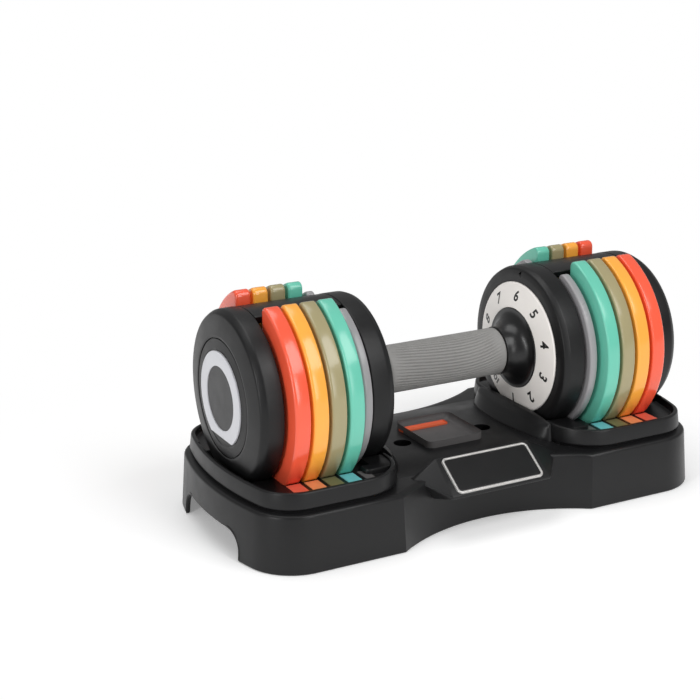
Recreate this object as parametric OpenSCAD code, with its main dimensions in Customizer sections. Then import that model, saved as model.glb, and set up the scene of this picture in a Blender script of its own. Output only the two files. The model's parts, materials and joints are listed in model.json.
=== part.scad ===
// Adjustable dumbbell with its base tray.
// +X runs along the bar, -Y is the front, +Z is up. The origin is under the middle of the tray.

/* [Dumbbell] */
// Height of the bar's axis above the table
axis_h = 97.5; // [97:0.25:99]
// Length of the dumbbell from badge face to badge face
bar_len = 337.4; // [336:0.2:339]
// Outer radius of the two black housings
housing_r = 59.25; // [58:0.25:60]

/* [Plates] */
// Outer radius of a coloured plate
plate_r = 70; // [68:0.5:71]
// Thickness of a coloured plate
plate_t = 10.8; // [10:0.1:11.2]
// Distance from one coloured plate to the next
plate_pitch = 13; // [12.6:0.1:13.1]
// Outer radius of the thin grey plate
grey_r = 62.5; // [61:0.5:63]
// Thickness of the thin grey plate
grey_t = 6.4; // [5.6:0.1:6.6]
// Half the width of the slot that lets the handle drop into a plate
slot_half = 20; // [20:0.25:21]

/* [Grip] */
// Outer radius of the grip
grip_r = 17; // [15:0.5:17.5]
// Length of the grip
grip_len = 94.6; // [90:0.5:95]

/* [Tray] */
// Length of the tray
tray_len = 368; // [366:1:370]
// Width of the tray
tray_w = 172; // [170:1:176]
// Height of the shoulder that the rims stand on
shoulder_z = 40; // [39.5:0.25:40.5]
// Height of the rim round each cradle
rim_z = 53.5; // [53:0.25:55]
// Wall thickness of the tray
wall = 3; // [2.6:0.1:3.2]

/* [Hidden] */

$fn = 64;
e = 0.01;
numbers = 10;
rest_number = 6;
step_deg = 360 / numbers;

// Places along the bar, measured from the middle of the grip to the right
face_x = bar_len / 2;
cap_x = face_x - 1.5;
cone_x = face_x - 4.2;
end_x = 148.8;
dial_x = 66.3;
inner_x = 66.9;
cover_x = 81.6;
inner_end_x = 84.6;
grey_x = 86.5;
teal_x = 96.3;
olive_x = teal_x + plate_pitch;
amber_x = olive_x + plate_pitch;
orange_x = amber_x + plate_pitch;

// Rod, tube and sleeve that share the bar's axis
rod_r = 6;
run_fit = 0.06;
sleeve_r = 8.5;
tube_r = 12;
collar_r = 16;
bush_r = 19;

// Cam cup that turns inside each plate's slot, and the finger that it lifts
cup_r = 18.5;
cup_wall = 3.2;
finger_in = 11.5;
finger_out = 14.5;
finger_deg = 14;

// Housing, dial and index wheel
shell_t = 3;
dial_r = 47.9;
flange_r = 29.5;
dial_rise = 3.9;
wheel_r = 32;
wheel_x = 74;
wheel_t = 4;
yoke_r = 42;
detent_r = 2.4;
detent_deg = 18;

// Badge on the end cap
cap_r = 41.2;
ring_r = 32.2;
ring_in = 22;
ring_flat = 27.5;

// Tray levels and outlines
plate_z = 48.5;
deck_z = 43;
rim_in = 7;
rim_front = tray_w / 2 - 7;
waist_x = 75;
waist_in = 23.4;
corner_r = 36;
end_r = 233;
taper = 3;
saddle_r = housing_r + 0.4;
trough_x = dial_x - 1.7;
saddle_half = 36;
collar_x = 64;
hole_x = 33;
hole_y = -6;
bolt_r = 3.2;
recess_r = 6.4;
foot_x = 140;
foot_y = 62;
foot_r = 9;
arch_half = 45;
arch_z = 19;

// Badge block on the front of the tray
badge_w = 69;
badge_h = 30;
block_low = [-tray_w / 2, 32];
block_top = [-59, 49.6];
badge_tilt = atan2(block_top[1] - block_low[1], block_top[0] - block_low[0]);

orange = [0.96, 0.42, 0.30];
amber = [1.0, 0.74, 0.32];
olive = [0.68, 0.64, 0.48];
teal = [0.43, 0.80, 0.70];
grey = [0.58, 0.57, 0.58];
black = [0.15, 0.15, 0.15];
steel = [0.72, 0.73, 0.75];

// Mirrors its children to the left or right half: side is -1 or 1
module on_side(side) {
    mirror([side < 0 ? 1 : 0, 0, 0]) children();
}

// Children are modelled round +Z at the origin, then laid along +X on the bar's axis
module on_bar(x = 0) {
    translate([x, 0, axis_h]) rotate([0, 90, 0]) children();
}

// Solid of revolution about the bar from points [place along the bar, radius]
module turned(points) {
    on_bar() rotate_extrude() polygon([for (p = points) [p[1], p[0]]]);
}

// Ring about the bar
module ring_x(x0, x1, r_out, r_in) {
    on_bar(x0) difference() {
        cylinder(h = x1 - x0, r = r_out);
        translate([0, 0, -1]) cylinder(h = x1 - x0 + 2, r = r_in);
    }
}

// Flat drawing in the Y-Z plane, centred on the bar, pulled out from x0 to x1
module slab_x(x0, x1) {
    translate([x0, 0, axis_h]) rotate([90, 0, 90]) linear_extrude(x1 - x0) children();
}

// Wedge of a disc: a0 and a1 are degrees from +Y towards +Z, at most 90 apart
module wedge(a0, a1, r) {
    polygon([[0, 0], r * [cos(a0), sin(a0)], r * 1.3 * [cos((a0 + a1) / 2), sin((a0 + a1) / 2)],
             r * [cos(a1), sin(a1)]]);
}

// ---------- Plates ----------

// Outline of a plate: a disc with a flat foot and an open slot with rounded lobes
module plate_outline(r) {
    lobe = 4.5;
    lobe_y = slot_half + lobe;
    lobe_z = sqrt((r - lobe) * (r - lobe) - lobe_y * lobe_y);
    difference() {
        circle(r = r, $fn = 128);
        translate([-r, plate_z - axis_h - r]) square([2 * r, r]);
        circle(r = slot_half);
        translate([-slot_half, 0]) square([2 * slot_half, r + 1]);
        for (s = [-1, 1]) difference() {
            translate([s > 0 ? slot_half - e : -lobe_y, lobe_z]) square([lobe + e, r]);
            translate([s * lobe_y, lobe_z]) circle(r = lobe);
        }
    }
}

// Plate with the web and finger that its cam lifts; x0 is its face nearer to the grip
module plate(x0, r, t) {
    web = t * 0.28;
    slab_x(x0, x0 + t) plate_outline(r);
    slab_x(x0, x0 + web) finger_piece(slot_half + 0.5);
    slab_x(x0 + web - e, x0 + t * 0.76) finger_piece(finger_out);
}

module finger_piece(r_out) {
    intersection() {
        difference() {
            circle(r = r_out);
            circle(r = finger_in);
        }
        wedge(-90 - finger_deg, -90 + finger_deg, 40);
    }
}

module left_plate_orange() { color(orange) on_side(-1) plate(orange_x, plate_r, plate_t); }
module left_plate_amber() { color(amber) on_side(-1) plate(amber_x, plate_r, plate_t); }
module left_plate_olive() { color(olive) on_side(-1) plate(olive_x, plate_r, plate_t); }
module left_plate_teal() { color(teal) on_side(-1) plate(teal_x, plate_r, plate_t); }
module left_plate_grey() { color(grey) on_side(-1) plate(grey_x, grey_r, grey_t); }
module right_plate_orange() { color(orange) plate(orange_x, plate_r, plate_t); }
module right_plate_amber() { color(amber) plate(amber_x, plate_r, plate_t); }
module right_plate_olive() { color(olive) plate(olive_x, plate_r, plate_t); }
module right_plate_teal() { color(teal) plate(teal_x, plate_r, plate_t); }
module right_plate_grey() { color(grey) plate(grey_x, grey_r, grey_t); }

// ---------- Cams: one cup per plate, its wall stands under the finger at the numbers that lift ----------

// Angle of a number's place at rest, seen at the bottom of the dial
function seat_deg(n) = -90 - (n - rest_number) * step_deg;

// Cup for the plate at x0 with thickness t; lifting lists the numbers at which it carries the plate
module cam_cup(x0, t, lifting) {
    floor_x = x0 + t * 0.85;
    ring_x(floor_x, x0 + t * 0.98, cup_r, sleeve_r);
    slab_x(x0 + t * 0.32, floor_x) intersection() {
        difference() {
            circle(r = cup_r);
            circle(r = cup_r - cup_wall);
        }
        union() {
            for (n = lifting) wedge(seat_deg(n) - step_deg / 2, seat_deg(n) + step_deg / 2, 40);
        }
    }
}

module cam_pair(x0, t, lifting) {
    for (side = [-1, 1]) on_side(side) cam_cup(x0, t, lifting);
}

module cams_grey() { color(black) cam_pair(grey_x, grey_t, [2:2:numbers]); }
module cams_teal() { color(black) cam_pair(teal_x, plate_t, [3:numbers]); }
module cams_olive() { color(black) cam_pair(olive_x, plate_t, [5:numbers]); }
module cams_amber() { color(black) cam_pair(amber_x, plate_t, [7:numbers]); }
module cams_orange() { color(black) cam_pair(orange_x, plate_t, [9:numbers]); }

// ---------- Handle frame: rod, housings, bridges ----------

module core_rod() {
    color(steel) on_bar(-face_x + 3.2) cylinder(h = 2 * (face_x - 3.2), r = rod_r);
}

module rod_nuts() {
    color(steel) for (side = [-1, 1]) on_side(side) on_bar(face_x - 8.7) difference() {
        cylinder(h = 5, r = 10.5, $fn = 6);
        translate([0, 0, -1]) cylinder(h = 7, r = rod_r);
    }
}

// Outer cup with a hub for the rod, four ribs and a cone face
module end_housing() {
    web_x = face_x - 11.7;
    hub_r = 13;
    difference() {
        turned([[end_x, 0], [end_x, housing_r - 1], [end_x + 1, housing_r], [cone_x - 3, housing_r],
                [cone_x - 0.9, housing_r - 0.9], [cone_x, housing_r - 3], [cap_x, cap_r], [cap_x, 0]]);
        ring_x(end_x - 1, web_x, housing_r - shell_t, hub_r);
        on_bar(web_x + 3) cylinder(h = 20, r = 12.5);
        on_bar(cap_x - 1.3) cylinder(h = 10, r = cap_r - 0.6);
        on_bar(0) cylinder(h = 200, r = rod_r);
    }
    for (a = [0:3]) slab_x(end_x + 2, web_x + e) rotate(45 + a * 90) translate([hub_r - 1, -1.2])
        square([housing_r - shell_t - hub_r + 1.5, 2.4]);
}

// Shallow cap that closes the housing over the nut
module end_cap() {
    difference() {
        on_bar(cap_x - 1.3) cylinder(h = 1.9, r = cap_r - 0.6);
        on_bar(0) cylinder(h = cap_x - 0.9, r = 12.4);
    }
}

module flat_foot_disc(r) {
    difference() {
        circle(r = r, $fn = 128);
        translate([-r, -r - ring_flat]) square([2 * r, r]);
    }
}

module badge_ring() {
    slab_x(cap_x + 0.6, face_x) difference() {
        flat_foot_disc(ring_r);
        circle(r = ring_in);
    }
}

module badge_disc() {
    on_bar(cap_x + 0.6) cylinder(h = 0.4, r = ring_in);
}

// Spine over the plates, with a tenon at each end that sits inside a housing
module bridge() {
    half = 15;
    tenon = 5;
    slab_x(inner_end_x, end_x) bridge_arc(housing_r, housing_r - 5.5, half);
    slab_x(end_x - e, end_x + tenon) bridge_arc(housing_r - shell_t, housing_r - 6.5, half - 3);
}

module bridge_arc(r_out, r_in, half) {
    intersection() {
        difference() {
            circle(r = r_out, $fn = 128);
            circle(r = r_in, $fn = 128);
        }
        translate([-half, 0]) square([2 * half, 80]);
    }
}

module left_end_housing() { color(black) on_side(-1) end_housing(); }
module left_end_cap() { color(black) on_side(-1) end_cap(); }
module left_badge_ring() { color("silver") on_side(-1) badge_ring(); }
module left_badge_disc() { color("dimgray") on_side(-1) badge_disc(); }
module left_bridge() { color(black) on_side(-1) bridge(); }
module right_end_housing() { color(black) end_housing(); }
module right_end_cap() { color(black) end_cap(); }
module right_badge_ring() { color("silver") badge_ring(); }
module right_badge_disc() { color("dimgray") badge_disc(); }
module right_bridge() { color(black) bridge(); }

// Housing behind the dial: a cup that opens towards the plates, with a pointer notch on top
module inner_housing() {
    lip_r = dial_r + 0.5;
    difference() {
        turned([[inner_x, lip_r], [inner_x, 52], [inner_x + 0.9, housing_r - 2.4],
                [inner_x + 2.2, housing_r - 0.7], [inner_x + 4, housing_r], [inner_end_x, housing_r],
                [inner_end_x, housing_r - shell_t], [inner_x + 5.4, housing_r - shell_t],
                [inner_x + 5.4, flange_r + 2], [inner_x + 2.6, flange_r + 2], [inner_x + 2.6, lip_r]]);
        on_bar(wheel_x + wheel_t / 2) rotate([0, 90, 0]) cylinder(h = 80, r = 4.2);
        slab_x(inner_x - 1, inner_x + 3) translate([0, 52]) circle(r = 3.5, $fn = 3);
    }
    for (a = [30, 150, 210, 330]) on_bar(inner_x + 5.4 - e) rotate(-a) translate([50.5, 0])
        difference() {
            cylinder(h = cover_x - inner_x - 5.4 + e, r = 4);
            translate([0, 0, 2]) cylinder(h = 20, r = 1.5);
        }
}

// Cover on the plate side of the inner housing, with a seat for the bush
module inner_cover() {
    difference() {
        union() {
            ring_x(cover_x, inner_end_x - 0.3, housing_r - shell_t - 0.2, bush_r);
            ring_x(cover_x - 2, cover_x + e, bush_r + 2.5, bush_r);
        }
        for (a = [30, 150, 210, 330]) on_bar(cover_x - 1) rotate(-a) translate([50.5, 0])
            cylinder(h = 8, r = 1.6);
        for (a = [30, 150, 210, 330]) on_bar(inner_end_x - 1.8) rotate(-a) translate([50.5, 0])
            cylinder(h = 8, r = 3.2);
    }
}

module bush() {
    ring_x(cover_x - 2, inner_end_x - 0.3, bush_r, collar_r + run_fit);
}

module cover_screws() {
    color(steel) for (side = [-1, 1]) on_side(side) for (a = [30, 150, 210, 330])
        on_bar(0) rotate(-a) translate([50.5, 0, 0]) {
            translate([0, 0, cover_x - 7]) cylinder(h = inner_end_x - 1.8 - cover_x + 7 + e, r = 1.45);
            translate([0, 0, inner_end_x - 1.8]) cylinder(h = 1.4, r = 2.9);
        }
}

module left_inner_housing() { color(black) on_side(-1) inner_housing(); }
module left_inner_cover() { color(black) on_side(-1) inner_cover(); }
module left_bush() { color("peru") on_side(-1) bush(); }
module right_inner_housing() { color(black) inner_housing(); }
module right_inner_cover() { color(black) inner_cover(); }
module right_bush() { color("peru") bush(); }

// Detent ball and spring beside the index wheel, held just clear of its teeth
module detent_place() {
    for (side = [-1, 1]) on_side(side) on_bar(wheel_x + wheel_t / 2) rotate(-90 - detent_deg)
        rotate([0, 90, 0]) children();
}

module detent_balls() {
    color(steel) detent_place() translate([0, 0, wheel_r + detent_r + 0.35]) sphere(r = detent_r);
}

module detent_springs() {
    color(steel) detent_place() translate([0, 0, wheel_r + 2 * detent_r + 0.5])
        coil(1.8, 0.45, 10, 5);
}

// Wire spring that stands on the origin
module coil(r, wire_r, length, turns) {
    linear_extrude(height = length, twist = -360 * turns, slices = 12 * turns, $fn = 8)
        translate([r, 0]) circle(r = wire_r, $fn = 8);
}

// ---------- Lock: a yoke that drops into the index wheel when the handle leaves the tray ----------

module lock_slider() {
    yoke_in = yoke_r - 4.5;
    stem_r = 3.4;
    stem_z = axis_h - housing_r + 0.1;
    slab_x(wheel_x + 0.4, wheel_x + wheel_t - 0.4) difference() {
        circle(r = yoke_r, $fn = 96);
        circle(r = yoke_in, $fn = 96);
        wedge(180 - detent_deg - 26, 180 - detent_deg + 26, 70);
    }
    slab_x(wheel_x + 0.4, wheel_x + wheel_t - 0.4) translate([-1.8, wheel_r + 0.5])
        square([3.6, yoke_in - wheel_r + 1]);
    translate([wheel_x + wheel_t / 2, 0, stem_z])
        cylinder(h = axis_h - yoke_in - 0.5 - stem_z, r = stem_r);
}

// Coil that presses the yoke down, between its top and the housing's roof
module lock_spring() {
    translate([wheel_x + wheel_t / 2, 0, axis_h + yoke_r + 0.1]) coil(3, 0.8, 12.6, 4);
}

module left_lock_slider() { color(steel) on_side(-1) lock_slider(); }
module left_lock_spring() { color(steel) on_side(-1) lock_spring(); }
module right_lock_slider() { color(steel) lock_slider(); }
module right_lock_spring() { color(steel) lock_spring(); }

// ---------- Selector: grip, tube, hubs, dials, index wheels, sleeves ----------

module handle_tube() {
    color(steel) ring_x(-dial_x + 4, dial_x - 4, tube_r, rod_r + 0.5);
}

// Grip with shallow grooves that run along it
module grip() {
    grooves = 30;
    color("gray") difference() {
        ring_x(-grip_len / 2, grip_len / 2, grip_r, tube_r);
        for (i = [0:grooves - 1]) on_bar(-grip_len / 2 - 1) rotate(i * 360 / grooves)
            translate([grip_r + 0.5, 0]) cylinder(h = grip_len + 2, r = 0.9, $fn = 12);
    }
}

// Flared hub that joins the grip to the dial
module hub() {
    flare = dial_x - dial_rise - 0.7 - grip_len / 2;
    tip = grip_r + 0.6;
    curve = [for (i = [0:10]) let (t = i / 10)
        [grip_len / 2 + flare * t, tip + (flange_r - 1 - tip) * (1 - cos(90 * t))]];
    turned(concat([[grip_len / 2, tube_r]], curve,
        [[dial_x - dial_rise, flange_r], [inner_x + 2.2, flange_r], [inner_x + 2.2, 22],
         [wheel_x, 22], [wheel_x, collar_r], [inner_end_x + 0.6, collar_r],
         [inner_end_x + 0.6, sleeve_r], [dial_x - 4, sleeve_r], [dial_x - 4, tube_r]]));
}

// Ring with a slightly conical face, highest at its inner edge
module dial() {
    turned([[dial_x - dial_rise, flange_r], [dial_x, dial_r], [inner_x + 2.2, dial_r],
            [inner_x + 2.2, flange_r]]);
}

// Wheel with a notch for each number
module index_wheel() {
    slab_x(wheel_x, wheel_x + wheel_t) difference() {
        circle(r = wheel_r);
        circle(r = collar_r);
        for (n = [1:numbers]) rotate(90 - (n - rest_number) * step_deg) translate([wheel_r, 0])
            square([9, 5.4], center = true);
    }
}

module cam_sleeve() {
    ring_x(dial_x - 4, orange_x + plate_t + 1.2, sleeve_r, rod_r + run_fit);
}

module left_hub() { color(black) on_side(-1) hub(); }
module left_dial() { color("ivory") on_side(-1) dial(); }
module left_index_wheel() { color(steel) on_side(-1) index_wheel(); }
module left_cam_sleeve() { color(steel) on_side(-1) cam_sleeve(); }
module right_hub() { color(black) hub(); }
module right_dial() { color("ivory") dial(); }
module right_index_wheel() { color(steel) index_wheel(); }
module right_cam_sleeve() { color(steel) cam_sleeve(); }

// ---------- Tray ----------

// Plan of the tray, drawn in by the given inset
module tray_plan(inset) {
    half_l = tray_len / 2 - inset;
    half_w = tray_w / 2 - inset;
    r = corner_r - inset;
    waist_r = (waist_x * waist_x + waist_in * waist_in) / (2 * waist_in);
    intersection() {
        union() {
            square([2 * half_l, 2 * (half_w - r)], center = true);
            square([2 * (half_l - r), 2 * half_w], center = true);
            for (sx = [-1, 1]) for (sy = [-1, 1])
                translate([sx * (half_l - r), sy * (half_w - r)]) circle(r = r);
        }
        translate([half_l - end_r, 0]) circle(r = end_r, $fn = 180);
        translate([end_r - half_l, 0]) circle(r = end_r, $fn = 180);
        difference() {
            square([2 * tray_len, 2 * tray_w], center = true);
            for (sy = [-1, 1]) translate([0, sy * (tray_w / 2 - waist_in + waist_r)])
                circle(r = waist_r + inset, $fn = 180);
        }
    }
}

// Plan of one cradle's rim, drawn in by the given inset; it ends at the collar
module rim_plan(inset) {
    half_l = tray_len / 2 - rim_in - inset;
    half_w = rim_front - inset;
    r = corner_r - rim_in - inset;
    near_r = 34 - inset;
    near_x = 100;
    intersection() {
        union() {
            translate([near_x, -half_w]) square([half_l - r - near_x, 2 * half_w]);
            translate([collar_x + inset, -half_w + near_r])
                square([half_l - collar_x - inset, 2 * (half_w - near_r)]);
            translate([near_x, -half_w + r]) square([half_l - near_x, 2 * (half_w - r)]);
            for (sy = [-1, 1]) {
                translate([half_l - r, sy * (half_w - r)]) circle(r = r);
                translate([collar_x + inset + near_r, sy * (half_w - near_r)]) circle(r = near_r);
            }
        }
        translate([half_l - end_r + 0.8, 0]) circle(r = end_r, $fn = 180);
    }
}

// Trough that follows the housing's round belly between x0 and x1
module saddle(x0, x1) {
    intersection() {
        ring_x(x0, x1, saddle_r + wall, saddle_r);
        translate([x0 - 1, -saddle_half, 20]) cube([x1 - x0 + 2, 2 * saddle_half, plate_z - 20]);
    }
}

// Upright wall between a trough and the floor under the plates
module cheek(x0) {
    low = axis_h - saddle_r - wall + 0.5;
    translate([x0, -saddle_half, low]) cube([wall, 2 * saddle_half, plate_z - low]);
}

// Cradle for one head: rim, floor under the plates, and two troughs
module cradle() {
    plates_x0 = inner_end_x + 0.7;
    plates_x1 = end_x - 1.6;
    floor_z = plate_z - wall;
    difference() {
        translate([0, 0, floor_z]) linear_extrude(rim_z - floor_z) rim_plan(0);
        translate([0, 0, plate_z]) linear_extrude(rim_z) rim_plan(wall);
        on_bar(trough_x) cylinder(h = plates_x0 - trough_x, r = saddle_r);
        on_bar(plates_x1) cylinder(h = 40, r = saddle_r);
    }
    difference() {
        translate([0, 0, shoulder_z - wall]) linear_extrude(floor_z - shoulder_z + wall + e) rim_plan(0);
        translate([0, 0, shoulder_z - wall - 1]) linear_extrude(20) rim_plan(wall);
        on_bar(inner_x - 0.3) cylinder(h = 5, r = saddle_r);
    }
    saddle(trough_x - e, plates_x0 + e);
    saddle(plates_x1 - e, tray_len / 2 - rim_in - 1.2);
    cheek(plates_x0);
    cheek(plates_x1 - wall);
}

// Half-moon collar that stands in front of the dial
module collar() {
    reach = 15;
    hull() {
        translate([collar_x - 0.5, -50, rim_z - 1]) cube([wall + 0.5, 100, 3]);
        translate([collar_x, 0, shoulder_z - 1]) intersection() {
            scale([reach / 56, 1, 1]) cylinder(h = 2, r = 56, $fn = 48);
            translate([-30, -60, 0]) cube([30, 120, 2]);
        }
    }
}

// Wedge-shaped block that carries the badge on the front wall
module badge_block() {
    hull() {
        translate([-37, block_top[0], block_top[1] - 1]) cube([74, 1, 1]);
        translate([-39, block_low[0], block_low[1] - 2]) cube([78, 1, 2]);
        translate([-57, -64, shoulder_z - 1]) cube([114, 4, 1]);
        translate([-44, -64, 24]) cube([88, 3, 1]);
    }
}

// Deck between the cradles, with sloping front and back edges
module deck() {
    hull() {
        translate([-collar_x - 1, -32, deck_z - 1]) cube([2 * collar_x + 2, 64, 1]);
        translate([-collar_x - 1, -58, shoulder_z - 1]) cube([2 * collar_x + 2, 116, 1]);
    }
}

module foot_posts() {
    for (sx = [-1, 1]) for (sy = [-1, 1]) translate([sx * foot_x, sy * foot_y, 0]) children();
}

module bolt_places() {
    for (sx = [-1, 1]) translate([sx * hole_x, hole_y, 0]) children();
}

module tray() {
    top_scale = 1 - taper / (tray_len / 2);
    color(black) difference() {
        union() {
            difference() {
                linear_extrude(height = shoulder_z, scale = top_scale) tray_plan(0);
                translate([0, 0, -e]) linear_extrude(height = shoulder_z - wall, scale = top_scale)
                    tray_plan(wall);
                for (side = [-1, 1]) on_side(side) translate([0, 0, shoulder_z - wall - 1])
                    linear_extrude(10) rim_plan(1);
            }
            for (side = [-1, 1]) on_side(side) cradle();
            for (side = [-1, 1]) on_side(side) difference() {
                collar();
                translate([collar_x + wall, -60, 30]) cube([10, 120, 40]);
                on_bar(trough_x) cylinder(h = 20, r = saddle_r);
            }
            deck();
            badge_block();
            foot_posts() translate([0, 0, 4]) cylinder(h = plate_z - 5, r = 6);
            bolt_places() translate([0, 0, 26]) cylinder(h = deck_z - 27, r = recess_r + 2.6);
        }
        bolt_places() translate([0, 0, 29]) cylinder(h = 20, r = recess_r);
        bolt_places() translate([0, 0, 20]) cylinder(h = 20, r = bolt_r);
        for (side = [-1, 1]) on_side(side) translate([150, 0, 0]) {
            translate([0, -arch_half, -1]) cube([40, 2 * arch_half, arch_z - 5]);
            translate([0, -arch_half + 6, 0]) cube([40, 2 * arch_half - 12, arch_z]);
            for (sy = [-1, 1]) translate([0, sy * (arch_half - 6), arch_z - 6])
                rotate([0, 90, 0]) cylinder(h = 40, r = 6);
        }
    }
}

module foot_pads() {
    color([0.1, 0.1, 0.1]) foot_posts() cylinder(h = 4, r = foot_r);
}

// Places its children on the badge's sloping face, x to the right and y up the slope
module on_badge(depth) {
    mid = (block_low + block_top) / 2;
    translate([0, mid[0], mid[1]]) rotate([badge_tilt, 0, 0]) translate([0, 0, depth]) children();
}

module rounded_plate(w, h, r, t) {
    linear_extrude(t) union() {
        square([w - 2 * r, h], center = true);
        square([w, h - 2 * r], center = true);
        for (sx = [-1, 1]) for (sy = [-1, 1]) translate([sx * (w / 2 - r), sy * (h / 2 - r)])
            circle(r = r);
    }
}

module badge_frame() {
    color("silver") on_badge(0) difference() {
        rounded_plate(badge_w, badge_h, 4, 1.4);
        translate([0, 0, -1]) rounded_plate(badge_w - 3.6, badge_h - 3.6, 2.6, 4);
    }
}

module badge_plate() {
    color([0.1, 0.1, 0.1]) on_badge(0) rounded_plate(badge_w - 3.6, badge_h - 3.6, 2.6, 0.8);
}

module label_panel() {
    color("gray") translate([0, 0, deck_z]) linear_extrude(0.4) intersection() {
        translate([-22.5, -26]) square([45, 50]);
        translate([0, 14]) circle(r = 40, $fn = 96);
    }
}

// Colour tag on the cradle floor in front of a plate, one in each cradle, margin inside the rim
module tag_pair(x0, t, margin = 0.6) {
    gap = 0.9;
    far_y = 51.5;
    front_y = rim_front - wall - margin;
    for (side = [-1, 1]) on_side(side) translate([x0 + gap / 2, -front_y, plate_z])
        cube([t - gap, front_y - far_y, 0.4]);
}

module tag_orange() { color(orange) tag_pair(orange_x, plate_t); }
module tag_amber() { color([0.96, 0.63, 0.43]) tag_pair(amber_x, plate_t); }
module tag_olive() { color([0.49, 0.49, 0.33]) tag_pair(olive_x, plate_t); }
module tag_blue() { color([0.49, 0.82, 0.84]) tag_pair(teal_x, plate_t); }
module tag_grey() { color([0.43, 0.41, 0.41]) tag_pair(grey_x, grey_t + 1, 3.6); }

tray();
foot_pads();
badge_frame();
badge_plate();
label_panel();
tag_orange();
tag_amber();
tag_olive();
tag_blue();
tag_grey();
left_plate_orange();
left_plate_amber();
left_plate_olive();
left_plate_teal();
left_plate_grey();
right_plate_orange();
right_plate_amber();
right_plate_olive();
right_plate_teal();
right_plate_grey();
core_rod();
rod_nuts();
left_end_housing();
left_end_cap();
left_badge_ring();
left_badge_disc();
left_bridge();
left_inner_housing();
left_inner_cover();
left_bush();
right_end_housing();
right_end_cap();
right_badge_ring();
right_badge_disc();
right_bridge();
right_inner_housing();
right_inner_cover();
right_bush();
cover_screws();
detent_balls();
detent_springs();
left_lock_slider();
left_lock_spring();
right_lock_slider();
right_lock_spring();
handle_tube();
grip();
left_hub();
left_dial();
left_index_wheel();
left_cam_sleeve();
right_hub();
right_dial();
right_index_wheel();
right_cam_sleeve();
cams_grey();
cams_teal();
cams_olive();
cams_amber();
cams_orange();
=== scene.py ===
"""Looks of the adjustable dumbbell in its base tray.

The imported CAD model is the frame. Each class below models one sub-assembly around it, in metres,
with +X along the bar, -Y the front and +Z up.
"""

import json
import logging
import math
from dataclasses import dataclass, field
from enum import Enum
from typing import Iterable, Sequence

import bpy
from mathutils import Matrix, Vector


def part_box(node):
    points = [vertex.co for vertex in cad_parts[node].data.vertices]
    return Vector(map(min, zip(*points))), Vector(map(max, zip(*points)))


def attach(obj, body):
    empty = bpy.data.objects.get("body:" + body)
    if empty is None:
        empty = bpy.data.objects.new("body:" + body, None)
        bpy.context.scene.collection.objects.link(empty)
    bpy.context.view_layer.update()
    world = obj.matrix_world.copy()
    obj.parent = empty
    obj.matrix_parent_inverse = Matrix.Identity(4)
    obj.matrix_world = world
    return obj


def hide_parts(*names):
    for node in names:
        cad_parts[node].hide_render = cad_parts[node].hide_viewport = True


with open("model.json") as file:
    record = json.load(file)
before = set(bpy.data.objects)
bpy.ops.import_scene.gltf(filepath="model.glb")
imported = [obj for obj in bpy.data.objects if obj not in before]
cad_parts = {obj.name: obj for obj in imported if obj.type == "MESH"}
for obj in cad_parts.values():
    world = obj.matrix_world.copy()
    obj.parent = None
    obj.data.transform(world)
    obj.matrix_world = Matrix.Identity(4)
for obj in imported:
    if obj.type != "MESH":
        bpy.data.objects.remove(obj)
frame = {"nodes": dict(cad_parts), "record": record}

MM = 0.001
ROUND_STEPS = 128
Point = tuple[float, float]
Corner = tuple[float, float, float]
Box = tuple[Vector, Vector]

log = logging.getLogger("dumbbell")


class Side(Enum):
    """Which end of the bar a head is on."""

    LEFT = -1
    RIGHT = 1

    @property
    def word(self) -> str:
        """The side's name, as CAD nodes spell it.

        Returns:
            The word left or right.
        """
        return self.name.lower()


class PlateColour(Enum):
    """The weight plates of one head, from the outside in."""

    ORANGE = "orange"
    AMBER = "amber"
    OLIVE = "olive"
    TEAL = "teal"
    GREY = "grey"


class Edge(Enum):
    """How far shading stays smooth, in degrees between faces."""

    SOFT = 50.0
    CRISP = 28.0


# ---------------------------------------------------------------- finishes


def linear(colour: Iterable[float]) -> tuple[float, float, float, float]:
    """Turns a screen colour into the linear one that shaders take.

    Args:
        colour: red, green and blue, from 0 to 255.

    Returns:
        Linear red, green, blue and an alpha of 1.
    """
    scaled = [c / 255 for c in colour]
    red, green, blue = (c / 12.92 if c <= 0.04045 else ((c + 0.055) / 1.055) ** 2.4 for c in scaled)
    return red, green, blue, 1.0


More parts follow.
